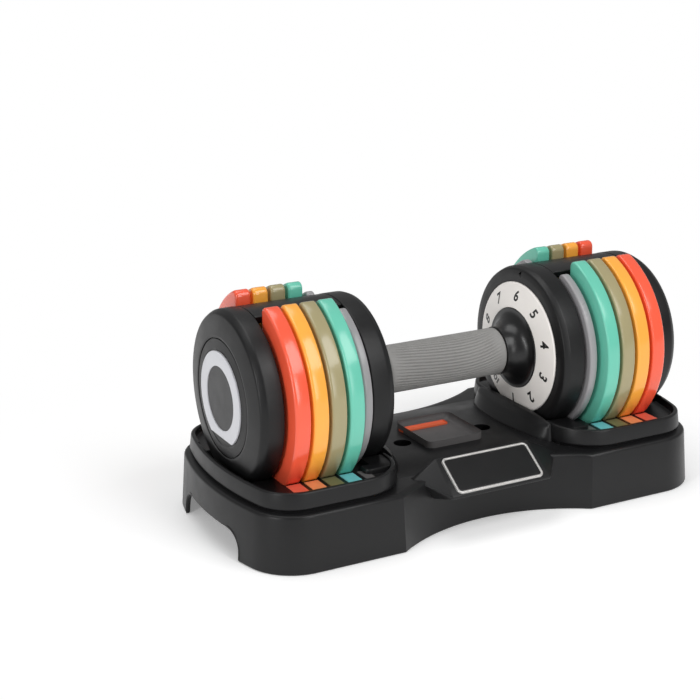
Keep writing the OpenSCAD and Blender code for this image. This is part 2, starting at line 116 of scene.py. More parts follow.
@dataclass(frozen=True)
class Finish:
    """A moulded, painted or turned surface, described by what the eye sees on it."""

    name: str
    colour: tuple[int, int, int]
    roughness: float
    grain_mm: float = 0.35
    grain_depth: float = 0.08
    mottle: float = 0.06
    mottle_mm: float = 18.0
    smudge: float = 0.08
    metallic: float = 0.0
    coat: float = 0.0
    specular: float = 0.5
    stretch: tuple[float, float, float] = (1.0, 1.0, 1.0)

    def material(self) -> bpy.types.Material:
        """Builds the node material, or returns the one already made.

        Returns:
            The material, with colour, gloss and grain patterns on object coordinates.
        """
        found = bpy.data.materials.get(self.name)
        if found:
            return found
        made = bpy.data.materials.new(self.name)
        made.use_nodes = True
        tree = made.node_tree
        shader = tree.nodes["Principled BSDF"]
        shader.inputs["Metallic"].default_value = self.metallic
        shader.inputs["Coat Weight"].default_value = self.coat
        shader.inputs["Coat Roughness"].default_value = 0.12
        shader.inputs["Specular IOR Level"].default_value = self.specular
        place = self.placing(tree)
        self.tint(tree, place, shader)
        self.gloss(tree, place, shader)
        self.grain(tree, place, shader)
        return made

    def placing(self, tree: bpy.types.NodeTree) -> bpy.types.NodeSocket:
        """Adds object coordinates, stretched along the grain.

        Args:
            tree: the material's node tree.

        Returns:
            The socket that the patterns read.
        """
        coords = tree.nodes.new("ShaderNodeTexCoord")
        mapping = tree.nodes.new("ShaderNodeMapping")
        mapping.inputs["Scale"].default_value = self.stretch
        tree.links.new(coords.outputs["Object"], mapping.inputs["Vector"])
        return mapping.outputs["Vector"]

    def noise(self, tree: bpy.types.NodeTree, place: bpy.types.NodeSocket, size_mm: float,
              detail: float) -> bpy.types.NodeSocket:
        """Adds a noise pattern.

        Args:
            tree: the material's node tree.
            place: the coordinates it reads.
            size_mm: the size of its larger spots.
            detail: the number of finer octaves.

        Returns:
            The pattern's factor, about 0.3 to 0.7.
        """
        made = tree.nodes.new("ShaderNodeTexNoise")
        made.inputs["Scale"].default_value = 1 / (size_mm * MM)
        made.inputs["Detail"].default_value = detail
        tree.links.new(place, made.inputs["Vector"])
        return made.outputs["Fac"]

    def tint(self, tree: bpy.types.NodeTree, place: bpy.types.NodeSocket,
             shader: bpy.types.Node) -> None:
        """Adds the base colour with its slight unevenness.

        Args:
            tree: the material's node tree.
            place: the coordinates that the pattern reads.
            shader: the shader to link to.
        """
        ramp = tree.nodes.new("ShaderNodeValToRGB")
        low, high = ramp.color_ramp.elements
        base = linear(self.colour)
        low.position, high.position = 0.3, 0.7
        low.color = (*(c * (1 - self.mottle) for c in base[:3]), 1)
        high.color = (*(min(1.0, c * (1 + self.mottle)) for c in base[:3]), 1)
        tree.links.new(self.noise(tree, place, self.mottle_mm, 3), ramp.inputs["Fac"])
        tree.links.new(ramp.outputs["Color"], shader.inputs["Base Color"])

    def gloss(self, tree: bpy.types.NodeTree, place: bpy.types.NodeSocket,
              shader: bpy.types.Node) -> None:
        """Adds the roughness with faint smudges.

        Args:
            tree: the material's node tree.
            place: the coordinates that the pattern reads.
            shader: the shader to link to.
        """
        spread = tree.nodes.new("ShaderNodeMapRange")
        spread.inputs["From Min"].default_value = 0.3
        spread.inputs["From Max"].default_value = 0.7
        spread.inputs["To Min"].default_value = self.roughness * (1 - self.smudge)
        spread.inputs["To Max"].default_value = min(1.0, self.roughness * (1 + self.smudge))
        tree.links.new(self.noise(tree, place, self.mottle_mm * 0.6, 5), spread.inputs["Value"])
        tree.links.new(spread.outputs["Result"], shader.inputs["Roughness"])

    def grain(self, tree: bpy.types.NodeTree, place: bpy.types.NodeSocket,
              shader: bpy.types.Node) -> None:
        """Adds the fine relief of the surface.

        Args:
            tree: the material's node tree.
            place: the coordinates that the pattern reads.
            shader: the shader to link to.
        """
        bump = tree.nodes.new("ShaderNodeBump")
        bump.inputs["Strength"].default_value = 1.0
        bump.inputs["Distance"].default_value = self.grain_depth * MM
        tree.links.new(self.noise(tree, place, self.grain_mm, 2), bump.inputs["Height"])
        tree.links.new(bump.outputs["Normal"], shader.inputs["Normal"])


TRAY = Finish("tray_satin_black", (22, 22, 23), 0.36, grain_mm=0.5, grain_depth=0.035, mottle=0.05,
              specular=0.32)
HOUSING = Finish("housing_satin_black", (19, 19, 20), 0.4, grain_mm=0.45, grain_depth=0.04,
                 specular=0.34)
HUB = Finish("hub_smooth_black", (16, 16, 17), 0.3, grain_mm=0.6, grain_depth=0.01)
CAP = Finish("cap_satin_black", (20, 20, 21), 0.42, grain_mm=0.4, grain_depth=0.035, specular=0.34)
BADGE_DARK = Finish("badge_dark_satin", (58, 58, 59), 0.5, grain_mm=0.3, grain_depth=0.03)
RING_PALE = Finish("badge_ring_pale", (206, 207, 212), 0.36, grain_mm=0.4, grain_depth=0.01,
                   mottle=0.02, coat=0.2)
DIAL = Finish("dial_warm_white", (252, 247, 242), 0.34, grain_mm=0.5, grain_depth=0.008,
              mottle=0.02, coat=0.15)
INK = Finish("number_black", (18, 18, 18), 0.4, grain_depth=0.01)
GRIP = Finish("grip_grey_rubber", (140, 139, 137), 0.62, grain_mm=0.25, grain_depth=0.05,
              mottle=0.05, specular=0.3)
LABEL = Finish("label_bare_grey", (92, 90, 90), 0.5, grain_mm=0.3, grain_depth=0.01, mottle=0.03)
FRAME_SILVER = Finish("badge_frame_silver", (196, 194, 192), 0.34, mottle=0.04, metallic=0.55,
                      grain_depth=0.01)
BADGE_BLACK = Finish("badge_plate_black", (16, 16, 17), 0.42, grain_mm=0.3, grain_depth=0.02,
                     specular=0.3)
BAND = Finish("label_band_orange", (236, 104, 62), 0.45, grain_mm=0.3, grain_depth=0.01, mottle=0.04)
RUBBER = Finish("foot_rubber_black", (28, 28, 28), 0.8, grain_mm=0.6, grain_depth=0.08, specular=0.3)
NYLON = Finish("cam_black_nylon", (34, 34, 35), 0.5, grain_depth=0.04)
STEEL = Finish("turned_bright_steel", (190, 191, 194), 0.28, metallic=1.0, grain_mm=0.8,
               grain_depth=0.02, stretch=(6.0, 1.0, 1.0))
ZINC = Finish("zinc_plated_steel", (168, 170, 174), 0.36, metallic=1.0, grain_mm=1.2,
              grain_depth=0.02, mottle=0.12, mottle_mm=6)
WIRE = Finish("spring_wire", (140, 141, 144), 0.35, metallic=1.0, grain_mm=0.5, grain_depth=0.02)
BRONZE = Finish("sintered_bronze", (176, 138, 92), 0.5, metallic=0.9, grain_mm=0.3,
                grain_depth=0.06, mottle=0.15, mottle_mm=1.5)


def plate_finish(name: str, colour: tuple[int, int, int], roughness: float = 0.2) -> Finish:
    """A thick glossy coat on a steel plate.

    Args:
        name: the material's name.
        colour: its screen colour.
        roughness: its mean roughness.

    Returns:
        The finish.
    """
    return Finish(name, colour, roughness, grain_mm=2.2, grain_depth=0.02, mottle=0.03,
                  mottle_mm=30, smudge=0.25, coat=0.35)


def tag_finish(name: str, colour: tuple[int, int, int]) -> Finish:
    """A satin colour tag on the cradle floor.

    Args:
        name: the material's name.
        colour: its screen colour.

    Returns:
        The finish.
    """
    return Finish(name, colour, 0.4, grain_mm=0.3, grain_depth=0.015, mottle=0.04, mottle_mm=8)


PLATE_FINISH = {
    PlateColour.ORANGE: plate_finish("plate_coat_orange", (244, 92, 62)),
    PlateColour.AMBER: plate_finish("plate_coat_amber", (252, 172, 66)),
    PlateColour.OLIVE: plate_finish("plate_coat_olive", (160, 150, 112)),
    PlateColour.TEAL: plate_finish("plate_coat_teal", (104, 196, 172)),
    PlateColour.GREY: plate_finish("plate_coat_grey", (150, 148, 150), 0.34),
}


# ---------------------------------------------------------------- bench: modelling helpers


class Bench:
    """Modelling operations that every sub-assembly shares."""

    @staticmethod
    def clear() -> None:
        """Leaves edit mode and deselects everything."""
        if bpy.context.object and bpy.context.object.mode != "OBJECT":
            bpy.ops.object.mode_set(mode="OBJECT")
        bpy.ops.object.select_all(action="DESELECT")

    @staticmethod
    def take(piece: bpy.types.Object) -> None:
        """Makes a piece the only selected and active object.

        Args:
            piece: the object to take.
        """
        Bench.clear()
        piece.select_set(True)
        bpy.context.view_layer.objects.active = piece

    @staticmethod
    def settle(piece: bpy.types.Object, name: str, edge: Edge = Edge.SOFT) -> bpy.types.Object:
        """Puts a piece's place into its mesh, closes doubles and turns its faces outwards.

        Args:
            piece: the mesh object.
            name: its final name.
            edge: how far its shading stays smooth.

        Returns:
            The same object.
        """
        Bench.take(piece)
        bpy.ops.object.transform_apply(location=True, rotation=True, scale=True)
        bpy.ops.object.mode_set(mode="EDIT")
        bpy.ops.mesh.select_all(action="SELECT")
        bpy.ops.mesh.remove_doubles(threshold=0.002 * MM)
        bpy.ops.mesh.normals_make_consistent(inside=False)
        bpy.ops.object.mode_set(mode="OBJECT")
        bpy.ops.object.shade_smooth_by_angle(angle=math.radians(edge.value))
        piece.name = name
        piece.data.name = name
        return piece

    @staticmethod
    def modify(piece: bpy.types.Object, kind: str, **settings: object) -> None:
        """Adds a modifier and applies it.

        Args:
            piece: the object to change.
            kind: the modifier's type.
            **settings: its properties.
        """
        Bench.take(piece)
        made = piece.modifiers.new(kind.lower(), kind)
        for key, value in settings.items():
            setattr(made, key, value)
        bpy.ops.object.modifier_apply(modifier=made.name)

    @staticmethod
    def bevel(piece: bpy.types.Object, width_mm: float, steps: int = 3, angle: float = 35.0) -> None:
        """Rounds the edges that are sharper than an angle in degrees.

        Args:
            piece: the object to change.
            width_mm: the bevel's width.
            steps: the number of faces across it.
            angle: the least angle between faces that is rounded.
        """
        Bench.modify(piece, "BEVEL", width=width_mm * MM, segments=steps, limit_method="ANGLE",
                     angle_limit=math.radians(angle), harden_normals=False)

    @staticmethod
    def cut(piece: bpy.types.Object, cutter: bpy.types.Object) -> None:
        """Takes the cutter's volume out of a piece.

        Args:
            piece: the object to change.
            cutter: the object to take away; it is deleted.
        """
        Bench.modify(piece, "BOOLEAN", operation="DIFFERENCE", solver="EXACT", object=cutter)
        bpy.data.objects.remove(cutter)

    @staticmethod
    def join(pieces: Sequence[bpy.types.Object]) -> bpy.types.Object:
        """Joins pieces into the first one.

        Args:
            pieces: the objects, of which the first stays.

        Returns:
            The first object.
        """
        Bench.clear()
        for piece in pieces:
            piece.select_set(True)
        bpy.context.view_layer.objects.active = pieces[0]
        bpy.ops.object.join()
        return pieces[0]

    @staticmethod
    def twin(piece: bpy.types.Object, name: str) -> bpy.types.Object:
        """Copies a settled piece to the other end of the bar, mirrored and with its own mesh.

        Args:
            piece: the piece to copy.
            name: the copy's name.

        Returns:
            The copy.
        """
        copy = piece.copy()
        copy.data = piece.data.copy()
        bpy.context.scene.collection.objects.link(copy)
        copy.data.transform(Matrix.Diagonal((-1, 1, 1, 1)))
        copy.data.flip_normals()
        copy.name = name
        copy.data.name = name
        return copy

    @staticmethod
    def block(low: Vector, high: Vector) -> bpy.types.Object:
        """A box between two corners, in metres.

        Args:
            low: the lower corner.
            high: the upper corner.

        Returns:
            The box, with its place in its mesh.
        """
        Bench.clear()
        bpy.ops.mesh.primitive_cube_add(size=1, location=(low + high) / 2)
        made = bpy.context.object
        made.scale = high - low
        bpy.ops.object.transform_apply(location=True, rotation=True, scale=True)
        return made

    @staticmethod
    def round_plan(piece: bpy.types.Object, radius_mm: float) -> None:
        """Rounds the upright edges of a block.

        Args:
            piece: the block.
            radius_mm: the corners' radius.
        """
        Bench.take(piece)
        for line in piece.data.edges:
            a, b = (piece.data.vertices[i].co for i in line.vertices)
            line.select = abs(a.z - b.z) > 0.01 * MM
        bpy.ops.object.mode_set(mode="EDIT")
        bpy.ops.mesh.select_mode(type="EDGE")
        bpy.ops.mesh.bevel(offset=radius_mm * MM, segments=8, affect="EDGES")
        bpy.ops.mesh.select_mode(type="VERT")
        bpy.ops.object.mode_set(mode="OBJECT")

    @staticmethod
    def rod(start: Vector, end: Vector, radius: float, sides: int = 96) -> bpy.types.Object:
        """A round bar between two points, in metres.

        Args:
            start: the middle of one end.
            end: the middle of the other end.
            radius: the radius, in metres.
            sides: the number of flat sides.

        Returns:
            The bar, with its place in its mesh.
        """
        Bench.clear()
        axis = end - start
        bpy.ops.mesh.primitive_cylinder_add(vertices=sides, radius=radius, depth=axis.length,
                                            location=(start + end) / 2,
                                            rotation=axis.to_track_quat("Z", "Y").to_euler())
        made = bpy.context.object
        bpy.ops.object.transform_apply(location=True, rotation=True, scale=True)
        return made

    @staticmethod
    def chain(points: Sequence[Vector]) -> bpy.types.Object:
        """Draws a polyline by extruding a vertex from point to point; edit mode stays on.

        Args:
            points: the polyline's places, in metres.

        Returns:
            The object, still in edit mode.
        """
        Bench.clear()
        bpy.ops.mesh.primitive_plane_add(size=MM, location=points[0])
        made = bpy.context.object
        bpy.ops.object.mode_set(mode="EDIT")
        bpy.ops.mesh.select_all(action="SELECT")
        bpy.ops.mesh.merge(type="CENTER")
        for here, there in zip(points, points[1:]):
            bpy.ops.mesh.extrude_region_move(TRANSFORM_OT_translate={"value": there - here})
        return made

    @staticmethod
    def turn(name: str, corners: Sequence[Corner], axis_z: float) -> bpy.types.Object:
        """Turns a profile once round the bar's axis.

        Args:
            name: the piece's name.
            corners: place along the bar, radius and corner radius, in mm.
            axis_z: height of the bar's axis, in metres.

        Returns:
            The finished piece.
        """
        centre = Vector((0, 0, axis_z))
        points = [centre + Vector((x, 0, r)) * MM for x, r in rounded(corners)]
        made = Bench.chain(points)
        bpy.ops.mesh.select_all(action="SELECT")
        bpy.ops.mesh.spin(steps=ROUND_STEPS, angle=math.tau, center=centre, axis=(1, 0, 0))
        return Bench.settle(made, name)

    @staticmethod
    def loft(name: str, loops: Sequence[Sequence[Vector]], cap_first: bool = True,
             cap_last: bool = True, edge: Edge = Edge.SOFT) -> bpy.types.Object:
        """Extrudes a closed loop from level to level, and places each new loop by its outline.

        Args:
            name: the piece's name.
            loops: closed outlines with the same number of points, in metres.
            cap_first: whether the first loop is filled.
            cap_last: whether the last loop is filled.
            edge: how far its shading stays smooth.

        Returns:
            The finished piece.
        """
        Bench.clear()
        bpy.ops.mesh.primitive_circle_add(vertices=len(loops[0]), radius=1, fill_type="NOTHING")
        made = bpy.context.object
        for vertex, place in zip(made.data.vertices, loops[0]):
            vertex.co = place
        count = len(loops[0])
        bpy.ops.object.mode_set(mode="EDIT")
        for level, loop in enumerate(loops[1:], start=1):
            bpy.ops.mesh.extrude_edges_move()
            bpy.ops.object.mode_set(mode="OBJECT")
            Bench.place_new(made, count * level, loops[level - 1], loop)
            bpy.ops.object.mode_set(mode="EDIT")
        if cap_last:
            bpy.ops.mesh.edge_face_add()
        if cap_first:
            Bench.select_first_loop(made, count)
            bpy.ops.mesh.edge_face_add()
        return Bench.settle(made, name, edge)

    @staticmethod
    def place_new(piece: bpy.types.Object, first: int, old: Sequence[Vector],
                  new: Sequence[Vector]) -> None:
        """Moves the vertices of an extruded loop from the old outline to the new one.

        Args:
            piece: the object.
            first: the index of the loop's first vertex.
            old: the outline that the loop was extruded from.
            new: the outline it goes to.
        """
        index = {tuple(round(c, 7) for c in place): i for i, place in enumerate(old)}
        for vertex in piece.data.vertices[first:]:
            vertex.co = new[index[tuple(round(c, 7) for c in vertex.co)]]

    @staticmethod
    def select_first_loop(piece: bpy.types.Object, count: int) -> None:
        """Selects the loop that a loft started from.

        Args:
            piece: the loft, in edit mode.
            count: the number of points in a loop.
        """
        bpy.ops.mesh.select_all(action="DESELECT")
        bpy.ops.object.mode_set(mode="OBJECT")
        for vertex in piece.data.vertices[:count]:
            vertex.select = True
        for line in piece.data.edges:
            line.select = all(i < count for i in line.vertices)
        bpy.ops.object.mode_set(mode="EDIT")

    @staticmethod
    def hull(boxes: Sequence[Box], name: str, round_mm: float) -> bpy.types.Object:
        """Wraps boxes in one convex skin and rounds its edges.

        Args:
            boxes: low and high corners, in metres.
            name: the piece's name.
            round_mm: the radius of its edges.

        Returns:
            The finished piece.
        """
        made = Bench.join([Bench.block(low, high) for low, high in boxes])
        bpy.ops.object.mode_set(mode="EDIT")
        bpy.ops.mesh.select_all(action="SELECT")
        bpy.ops.mesh.convex_hull()
        bpy.ops.mesh.dissolve_limited(angle_limit=math.radians(1))
        bpy.ops.object.mode_set(mode="OBJECT")
        Bench.bevel(made, round_mm, 3, 12)
        return Bench.settle(made, name)


def rounded(corners: Sequence[Corner], steps: int = 5) -> list[Point]:
    """Rounds the corners of an open polyline.

    Args:
        corners: two places and the corner's radius, 0 for a sharp one.
        steps: the number of pieces in a full quarter turn.

    Returns:
        The points of the rounded line.
    """
    made: list[Point] = []
    for i, (u, v, radius) in enumerate(corners):
        here = Vector((u, v))
        if radius <= 0 or i in (0, len(corners) - 1):
            made.append((u, v))
            continue
        back = Vector(corners[i - 1][:2]) - here
        ahead = Vector(corners[i + 1][:2]) - here
        half = back.angle(ahead) / 2
        reach = min(radius / math.tan(half), back.length * 0.49, ahead.length * 0.49)
        first, last = here + back.normalized() * reach, here + ahead.normalized() * reach
        count = max(2, round(steps * (math.pi - 2 * half) / (math.pi / 2)))
        for k in range(count + 1):
            t = k / count
            point = first * (1 - t) ** 2 + here * 2 * t * (1 - t) + last * t ** 2
            made.append((point.x, point.y))
    return made


def arc(centre: Point, radius: float, start: float, end: float, steps: int) -> list[Point]:
    """Points on a circle, from start to end in degrees.

    Args:
        centre: the circle's middle.
        radius: its radius.
        start: the first angle.
        end: the last angle.
        steps: the number of pieces.

    Returns:
        The points, one more than steps.
    """
    angles = [math.radians(start + (end - start) * k / steps) for k in range(steps + 1)]
    return [(centre[0] + radius * math.cos(a), centre[1] + radius * math.sin(a)) for a in angles]


def sector(inner: float, outer: float, middle: float, half_deg: float, steps: int = 10) -> list[Point]:
    """Outline of a piece of a ring.

    Args:
        inner: its inner radius.
        outer: its outer radius.
        middle: degrees from +Y towards +Z at its middle.
        half_deg: half its opening angle.
        steps: points along each arc.

    Returns:
        Points (y, z), once round.
    """
    far = arc((0, 0), outer, middle - half_deg, middle + half_deg, steps)
    return far + arc((0, 0), inner, middle + half_deg, middle - half_deg, steps)


def dress(piece: bpy.types.Object, finish: Finish, body: str,
          replaces: Sequence[str] = ()) -> bpy.types.Object:
    """Gives a piece its finish, body and the CAD nodes it stands for.

    Args:
        piece: the finished piece.
        finish: its material.
        body: the CAD body it rides on.
        replaces: CAD nodes it stands for.

    Returns:
        The same piece.
    """
    piece.data.materials.clear()
    piece.data.materials.append(finish.material())
    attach(piece, body)
    if replaces:
        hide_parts(*replaces)
    log.info("made %s on %s", piece.name, body)
    return piece


# ---------------------------------------------------------------- layout read from the frame


@dataclass
class Layout:
    """Places that the sub-assemblies share, read from the frame, in mm unless said."""

    axis_z: float = 0.0
    axis_mm: float = 0.0
    housing_r: float = 0.0

    def __post_init__(self) -> None:
        """Reads the bar's axis and the housings' radius from the CAD nodes."""
        low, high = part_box("core_rod")
        self.axis_z = (low.z + high.z) / 2
        self.axis_mm = self.axis_z / MM
        low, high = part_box("right_end_housing")
        self.housing_r = (high.z - low.z) / 2 / MM

    @staticmethod
    def span(node: str) -> Point:
        """Where a CAD node starts and ends along the bar, in mm.

        Args:
            node: the node's name.

        Returns:
            Its lowest and highest place.
        """
        low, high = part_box(node)
        return low.x / MM, high.x / MM

    @staticmethod
    def radius(node: str) -> float:
        """Half a CAD node's width, in mm.

        Args:
            node: the node's name.

        Returns:
            The radius.
        """
        low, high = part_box(node)
        return (high.y - low.y) / 2 / MM


# ---------------------------------------------------------------- plates


@dataclass
class PlateStack:
    """Weight plates of both heads."""

    layout: Layout
    slot_half: float = 20.0
    lobe_r: float = 4.5
    face_round: float = 1.9
    back_round: float = 1.3
    finger_in: float = 11.5
    finger_out: float = 14.5
    finger_deg: float = 14.0

    def outline(self, radius: float, foot: float, inset: float) -> list[Point]:
        """A plate's outline about the bar's axis.

        Args:
            radius: the plate's outer radius.
            foot: how far the flat foot is under the axis.
            inset: how far the outline is drawn in.

        Returns:
            Points (y, z) in mm, once round.
        """
        r, half, lobe = radius - inset, self.slot_half + inset, self.lobe_r - inset
        low = foot - inset
        lobe_y = self.slot_half + self.lobe_r
        lobe_z = math.sqrt((radius - self.lobe_r) ** 2 - lobe_y ** 2)
        lean = math.degrees(math.atan2(lobe_z, lobe_y))
        corner = math.degrees(math.asin(low / r))
        right = arc((0, 0), r, corner, lean, 56)
        right += arc((lobe_y, lobe_z), lobe, lean, 180, 12)[1:]
        right += [(half, lobe_z / 2)]
        right += arc((0, 0), half, 0, -90, 20)
        return right + [(-y, z) for y, z in reversed(right[:-1])]

    def loops(self, x0: float, x1: float, radius: float, foot: float) -> list[list[Vector]]:
        """Loft levels of a plate between two places along the bar, with rounded edges.

        Args:
            x0: the plate's near face.
            x1: its far face.
            radius: its outer radius.
            foot: how far the flat foot is under the axis.

        Returns:
            Closed outlines, in metres.
        """
        levels: list[Point] = []
        for k in range(5):
            a = math.radians(90 * k / 4)
            levels.append((x1 - self.face_round * (1 - math.cos(a)), self.face_round * (1 - math.sin(a))))
        for k in range(5):
            a = math.radians(90 * k / 4)
            levels.append((x0 + self.back_round * (1 - math.sin(a)), self.back_round * (1 - math.cos(a))))
        return [[Vector((x, y, z + self.layout.axis_mm)) * MM
                 for y, z in self.outline(radius, foot, inset)] for x, inset in levels]

    def finger(self, x0: float, thick: float) -> bpy.types.Object:
        """The web and finger in the slot, which the cam cup lifts.

        Args:
            x0: the plate's near face.
            thick: the plate's thickness.

        Returns:
            The finished piece.
        """
        levels = [(0.0, self.slot_half + 0.6), (0.28, self.slot_half + 0.6),
                  (0.28, self.finger_out), (0.76, self.finger_out)]
        lift = self.layout.axis_mm
        loops = [[Vector((x0 + part * thick, y, z + lift)) * MM
                  for y, z in sector(self.finger_in, outer, -90, self.finger_deg)]
                 for part, outer in levels]
        return Bench.loft("finger", loops, edge=Edge.CRISP)

    def plate(self, colour: PlateColour) -> bpy.types.Object:
        """Models the right-hand plate of a colour.

        Args:
            colour: which plate it is.

        Returns:
            The finished piece.
        """
        node = f"right_plate_{colour.value}"
        low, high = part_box(node)
        x0, x1 = Layout.span(node)
        foot = low.z / MM - self.layout.axis_mm
        body = Bench.loft(node, self.loops(x0, x1, Layout.radius(node), foot))
        made = Bench.join([body, self.finger(x0, x1 - x0)])
        return Bench.settle(made, f"{node}_coated", Edge.SOFT)

    def build(self) -> None:
        """Makes the ten plates and puts each on its body."""
        moving = (PlateColour.OLIVE, PlateColour.TEAL, PlateColour.GREY)
        for colour in PlateColour:
            right = self.plate(colour)
            left = Bench.twin(right, f"left_plate_{colour.value}_coated")
            for side, piece in ((Side.RIGHT, right), (Side.LEFT, left)):
                body = f"{side.word}_{colour.value}_plate" if colour in moving else "tray_base"
                dress(piece, PLATE_FINISH[colour], body,
                      [f"{side.word}_plate_{colour.value}"])


# ---------------------------------------------------------------- heads


@dataclass
class Head:
    """Housings, end cap, badge and bridge of both heads; modelled on the right, then copied."""

    layout: Layout
    shell: float = 3.0
    cap_r: float = 41.2
    ring_r: float = 32.2
    ring_in: float = 22.0
    ring_flat: float = 27.5
    bridge_half_deg: float = 15.0
    bridge_t: float = 5.5
    tenon: float = 5.0

    def both(self, right: bpy.types.Object, node: str, finish: Finish) -> None:
        """Dresses a right-hand piece and its mirrored twin on the handle frame.

        Args:
            right: the right-hand piece.
            node: the CAD node's name without its side.
            finish: its material.
        """
        left = Bench.twin(right, right.name.replace("right", "left"))
        for side, piece in ((Side.RIGHT, right), (Side.LEFT, left)):
            dress(piece, finish, "handle_frame", [f"{side.word}_{node}"])

    def end_housing(self) -> bpy.types.Object:
        """Outer housing: straight belly, soft shoulder, shallow cone, and a cavity behind.

        Returns:
            The finished piece.
        """
        x0, x1 = Layout.span("right_end_housing")
        r = self.layout.housing_r
        made = Bench.turn("right_end_housing_shell", [
            (x1 - 1.3, 0, 0), (x1 - 1.3, self.cap_r - 0.5, 0.3), (x1 - 0.1, self.cap_r - 0.3, 0.3),
            (x1 - 0.05, self.cap_r + 1.2, 0.5), (x1 - 2.4, r - 2.6, 2.6), (x1 - 6.6, r, 3.5),
            (x0, r, 0.9), (x0, r - self.shell, 0.6), (x0 + 9, r - self.shell, 1.5),
            (x0 + 9, 13, 1.0), (x0, 13, 0.5), (x0, 0, 0)], self.layout.axis_z)
        ribs = []
        for k in range(4):
            low = Vector((x0 + 2, -1.2, 12)) * MM
            high = Vector((x0 + 9.5, 1.2, r - self.shell + 0.5)) * MM
            rib = Bench.block(low, high)
            turn = Matrix.Rotation(math.radians(45 + 90 * k), 4, "X")
            rib.data.transform(Matrix.Translation((0, 0, self.layout.axis_z)) @ turn)
            ribs.append(rib)
        made = Bench.join([made, *ribs])
        return Bench.settle(made, "right_end_housing_shell")

    def end_cap(self) -> bpy.types.Object:
        """Cap over the nut: a fine groove round it and a shallow dish under the badge.

        Returns:
            The finished piece.
        """
        _, x1 = Layout.span("right_end_cap")
        return Bench.turn("right_end_cap_cover", [
            (x1 - 1.9, 0, 0), (x1 - 1.9, self.cap_r - 1.1, 0.2), (x1 - 0.9, self.cap_r - 1.1, 0.4),
            (x1 - 0.55, self.cap_r - 4.5, 0.6), (x1 - 0.1, self.ring_r + 1.6, 0.3),
            (x1 - 0.5, self.ring_r + 0.7, 0.2), (x1, self.ring_r - 1.2, 0.2), (x1, 0, 0)],
            self.layout.axis_z)

    def badge_ring(self) -> bpy.types.Object:
        """Pale ring with a flat foot, lofted from its outer wall over the face to its bore.

        Returns:
            The finished piece.
        """
        x0, x1 = Layout.span("right_badge_ring")
        steps = 180

        def loop(x: float, shrink: float, bore: bool) -> list[Vector]:
            """One level: the outside drawn in by shrink, or the bore let out by it.

            Args:
                x: the place along the bar, in mm.
                shrink: how far the wall gives way, in mm.
                bore: whether it is the inner wall.

            Returns:
                The outline, once round.
            """
            points = []
            for k in range(steps):
                a = math.radians(360 * k / steps)
                flat = (self.ring_flat - shrink) / max(1e-6, -math.sin(a))
                r = self.ring_in + shrink if bore else min(self.ring_r - shrink, flat)
                points.append(Vector((x, r * math.cos(a), self.layout.axis_mm + r * math.sin(a))) * MM)
            return points

        loops = [loop(x0 - 0.3, 0, False), loop(x1 - 0.3, 0, False), loop(x1 - 0.08, 0.1, False),
                 loop(x1, 0.35, False), loop(x1, 0.35, True), loop(x1 - 0.08, 0.1, True),
                 loop(x1 - 0.3, 0, True), loop(x0 - 0.3, 0, True)]
        loops.append(loops[0])
        return Bench.loft("right_badge_ring_trim", loops, False, False)

    def badge_disc(self) -> bpy.types.Object:
        """Bare dark disc inside the ring.

        Returns:
            The finished piece.
        """
        x0, x1 = Layout.span("right_badge_disc")
        return Bench.turn("right_badge_disc_face", [
            (x0 - 0.2, 0, 0), (x0 - 0.2, self.ring_in - 0.05, 0), (x1 - 0.15, self.ring_in - 0.05, 0.1),
            (x1, self.ring_in - 0.6, 0.2), (x1, 0, 0)], self.layout.axis_z)

    def bridge(self) -> bpy.types.Object:
        """Spine over the plates, from housing to housing.

        Returns:
            The finished piece.
        """
        x0, x1 = Layout.span("right_bridge")
        r = self.layout.housing_r
        outline = sector(r - self.bridge_t, r - 0.1, 90, self.bridge_half_deg, 24)
        loops = [[Vector((x, y, z + self.layout.axis_mm)) * MM for y, z in outline]
                 for x in (x0 + 0.1, x1 - self.tenon - 0.25)]
        made = Bench.loft("right_bridge_spine", loops)
        Bench.bevel(made, 0.8, 3, 40)
        return Bench.settle(made, "right_bridge_spine", Edge.CRISP)

    def inner_housing(self) -> bpy.types.Object:
        """Housing behind the dial, with a soft bevel and a pointer notch on top.

        Returns:
            The finished piece.
        """
        x0, x1 = Layout.span("right_inner_housing")
        r = self.layout.housing_r
        lip, bore = 48.4, r - self.shell
        made = Bench.turn("right_inner_housing_shell", [
            (x0, lip, 0.3), (x0 + 0.3, 53, 1.0), (x0 + 1.1, r - 1.6, 2.2), (x0 + 5.2, r, 3.5),
            (x1, r, 1.0), (x1, bore, 0.5), (x0 + 5.4, bore, 1.0), (x0 + 5.4, 31.5, 0.4),
            (x0 + 2.6, 31.5, 0.3), (x0 + 2.6, lip, 0.3), (x0, lip, 0)], self.layout.axis_z)
        pointer = self.pointer_cutter(x0)
        Bench.cut(made, pointer)
        return Bench.settle(made, "right_inner_housing_shell", Edge.SOFT)

    def pointer_cutter(self, x0: float) -> bpy.types.Object:
        """Small arrow-shaped cutter for the pointer notch, pointing down at the dial.

        Args:
            x0: the housing's front face.

        Returns:
            The cutter.
        """
        Bench.clear()
        bpy.ops.mesh.primitive_cylinder_add(vertices=3, radius=2.6 * MM, depth=4.4 * MM)
        made = bpy.context.object
        made.data.transform(Matrix.Rotation(math.radians(90), 4, "Y"))
        made.data.transform(Matrix.Diagonal((1, 0.8, 1, 1)))
        top = max(v.co.z for v in made.data.vertices)
        if sum(1 for v in made.data.vertices if v.co.z > top - 0.1 * MM) < 4:
            made.data.transform(Matrix.Diagonal((1, 1, -1, 1)))
            made.data.flip_normals()
        lean = Matrix.Rotation(math.radians(-28), 4, "Y")
        place = Vector((x0 + 0.2, 0, self.layout.axis_mm + 54.2)) * MM
        made.data.transform(Matrix.Translation(place) @ lean)
        return made

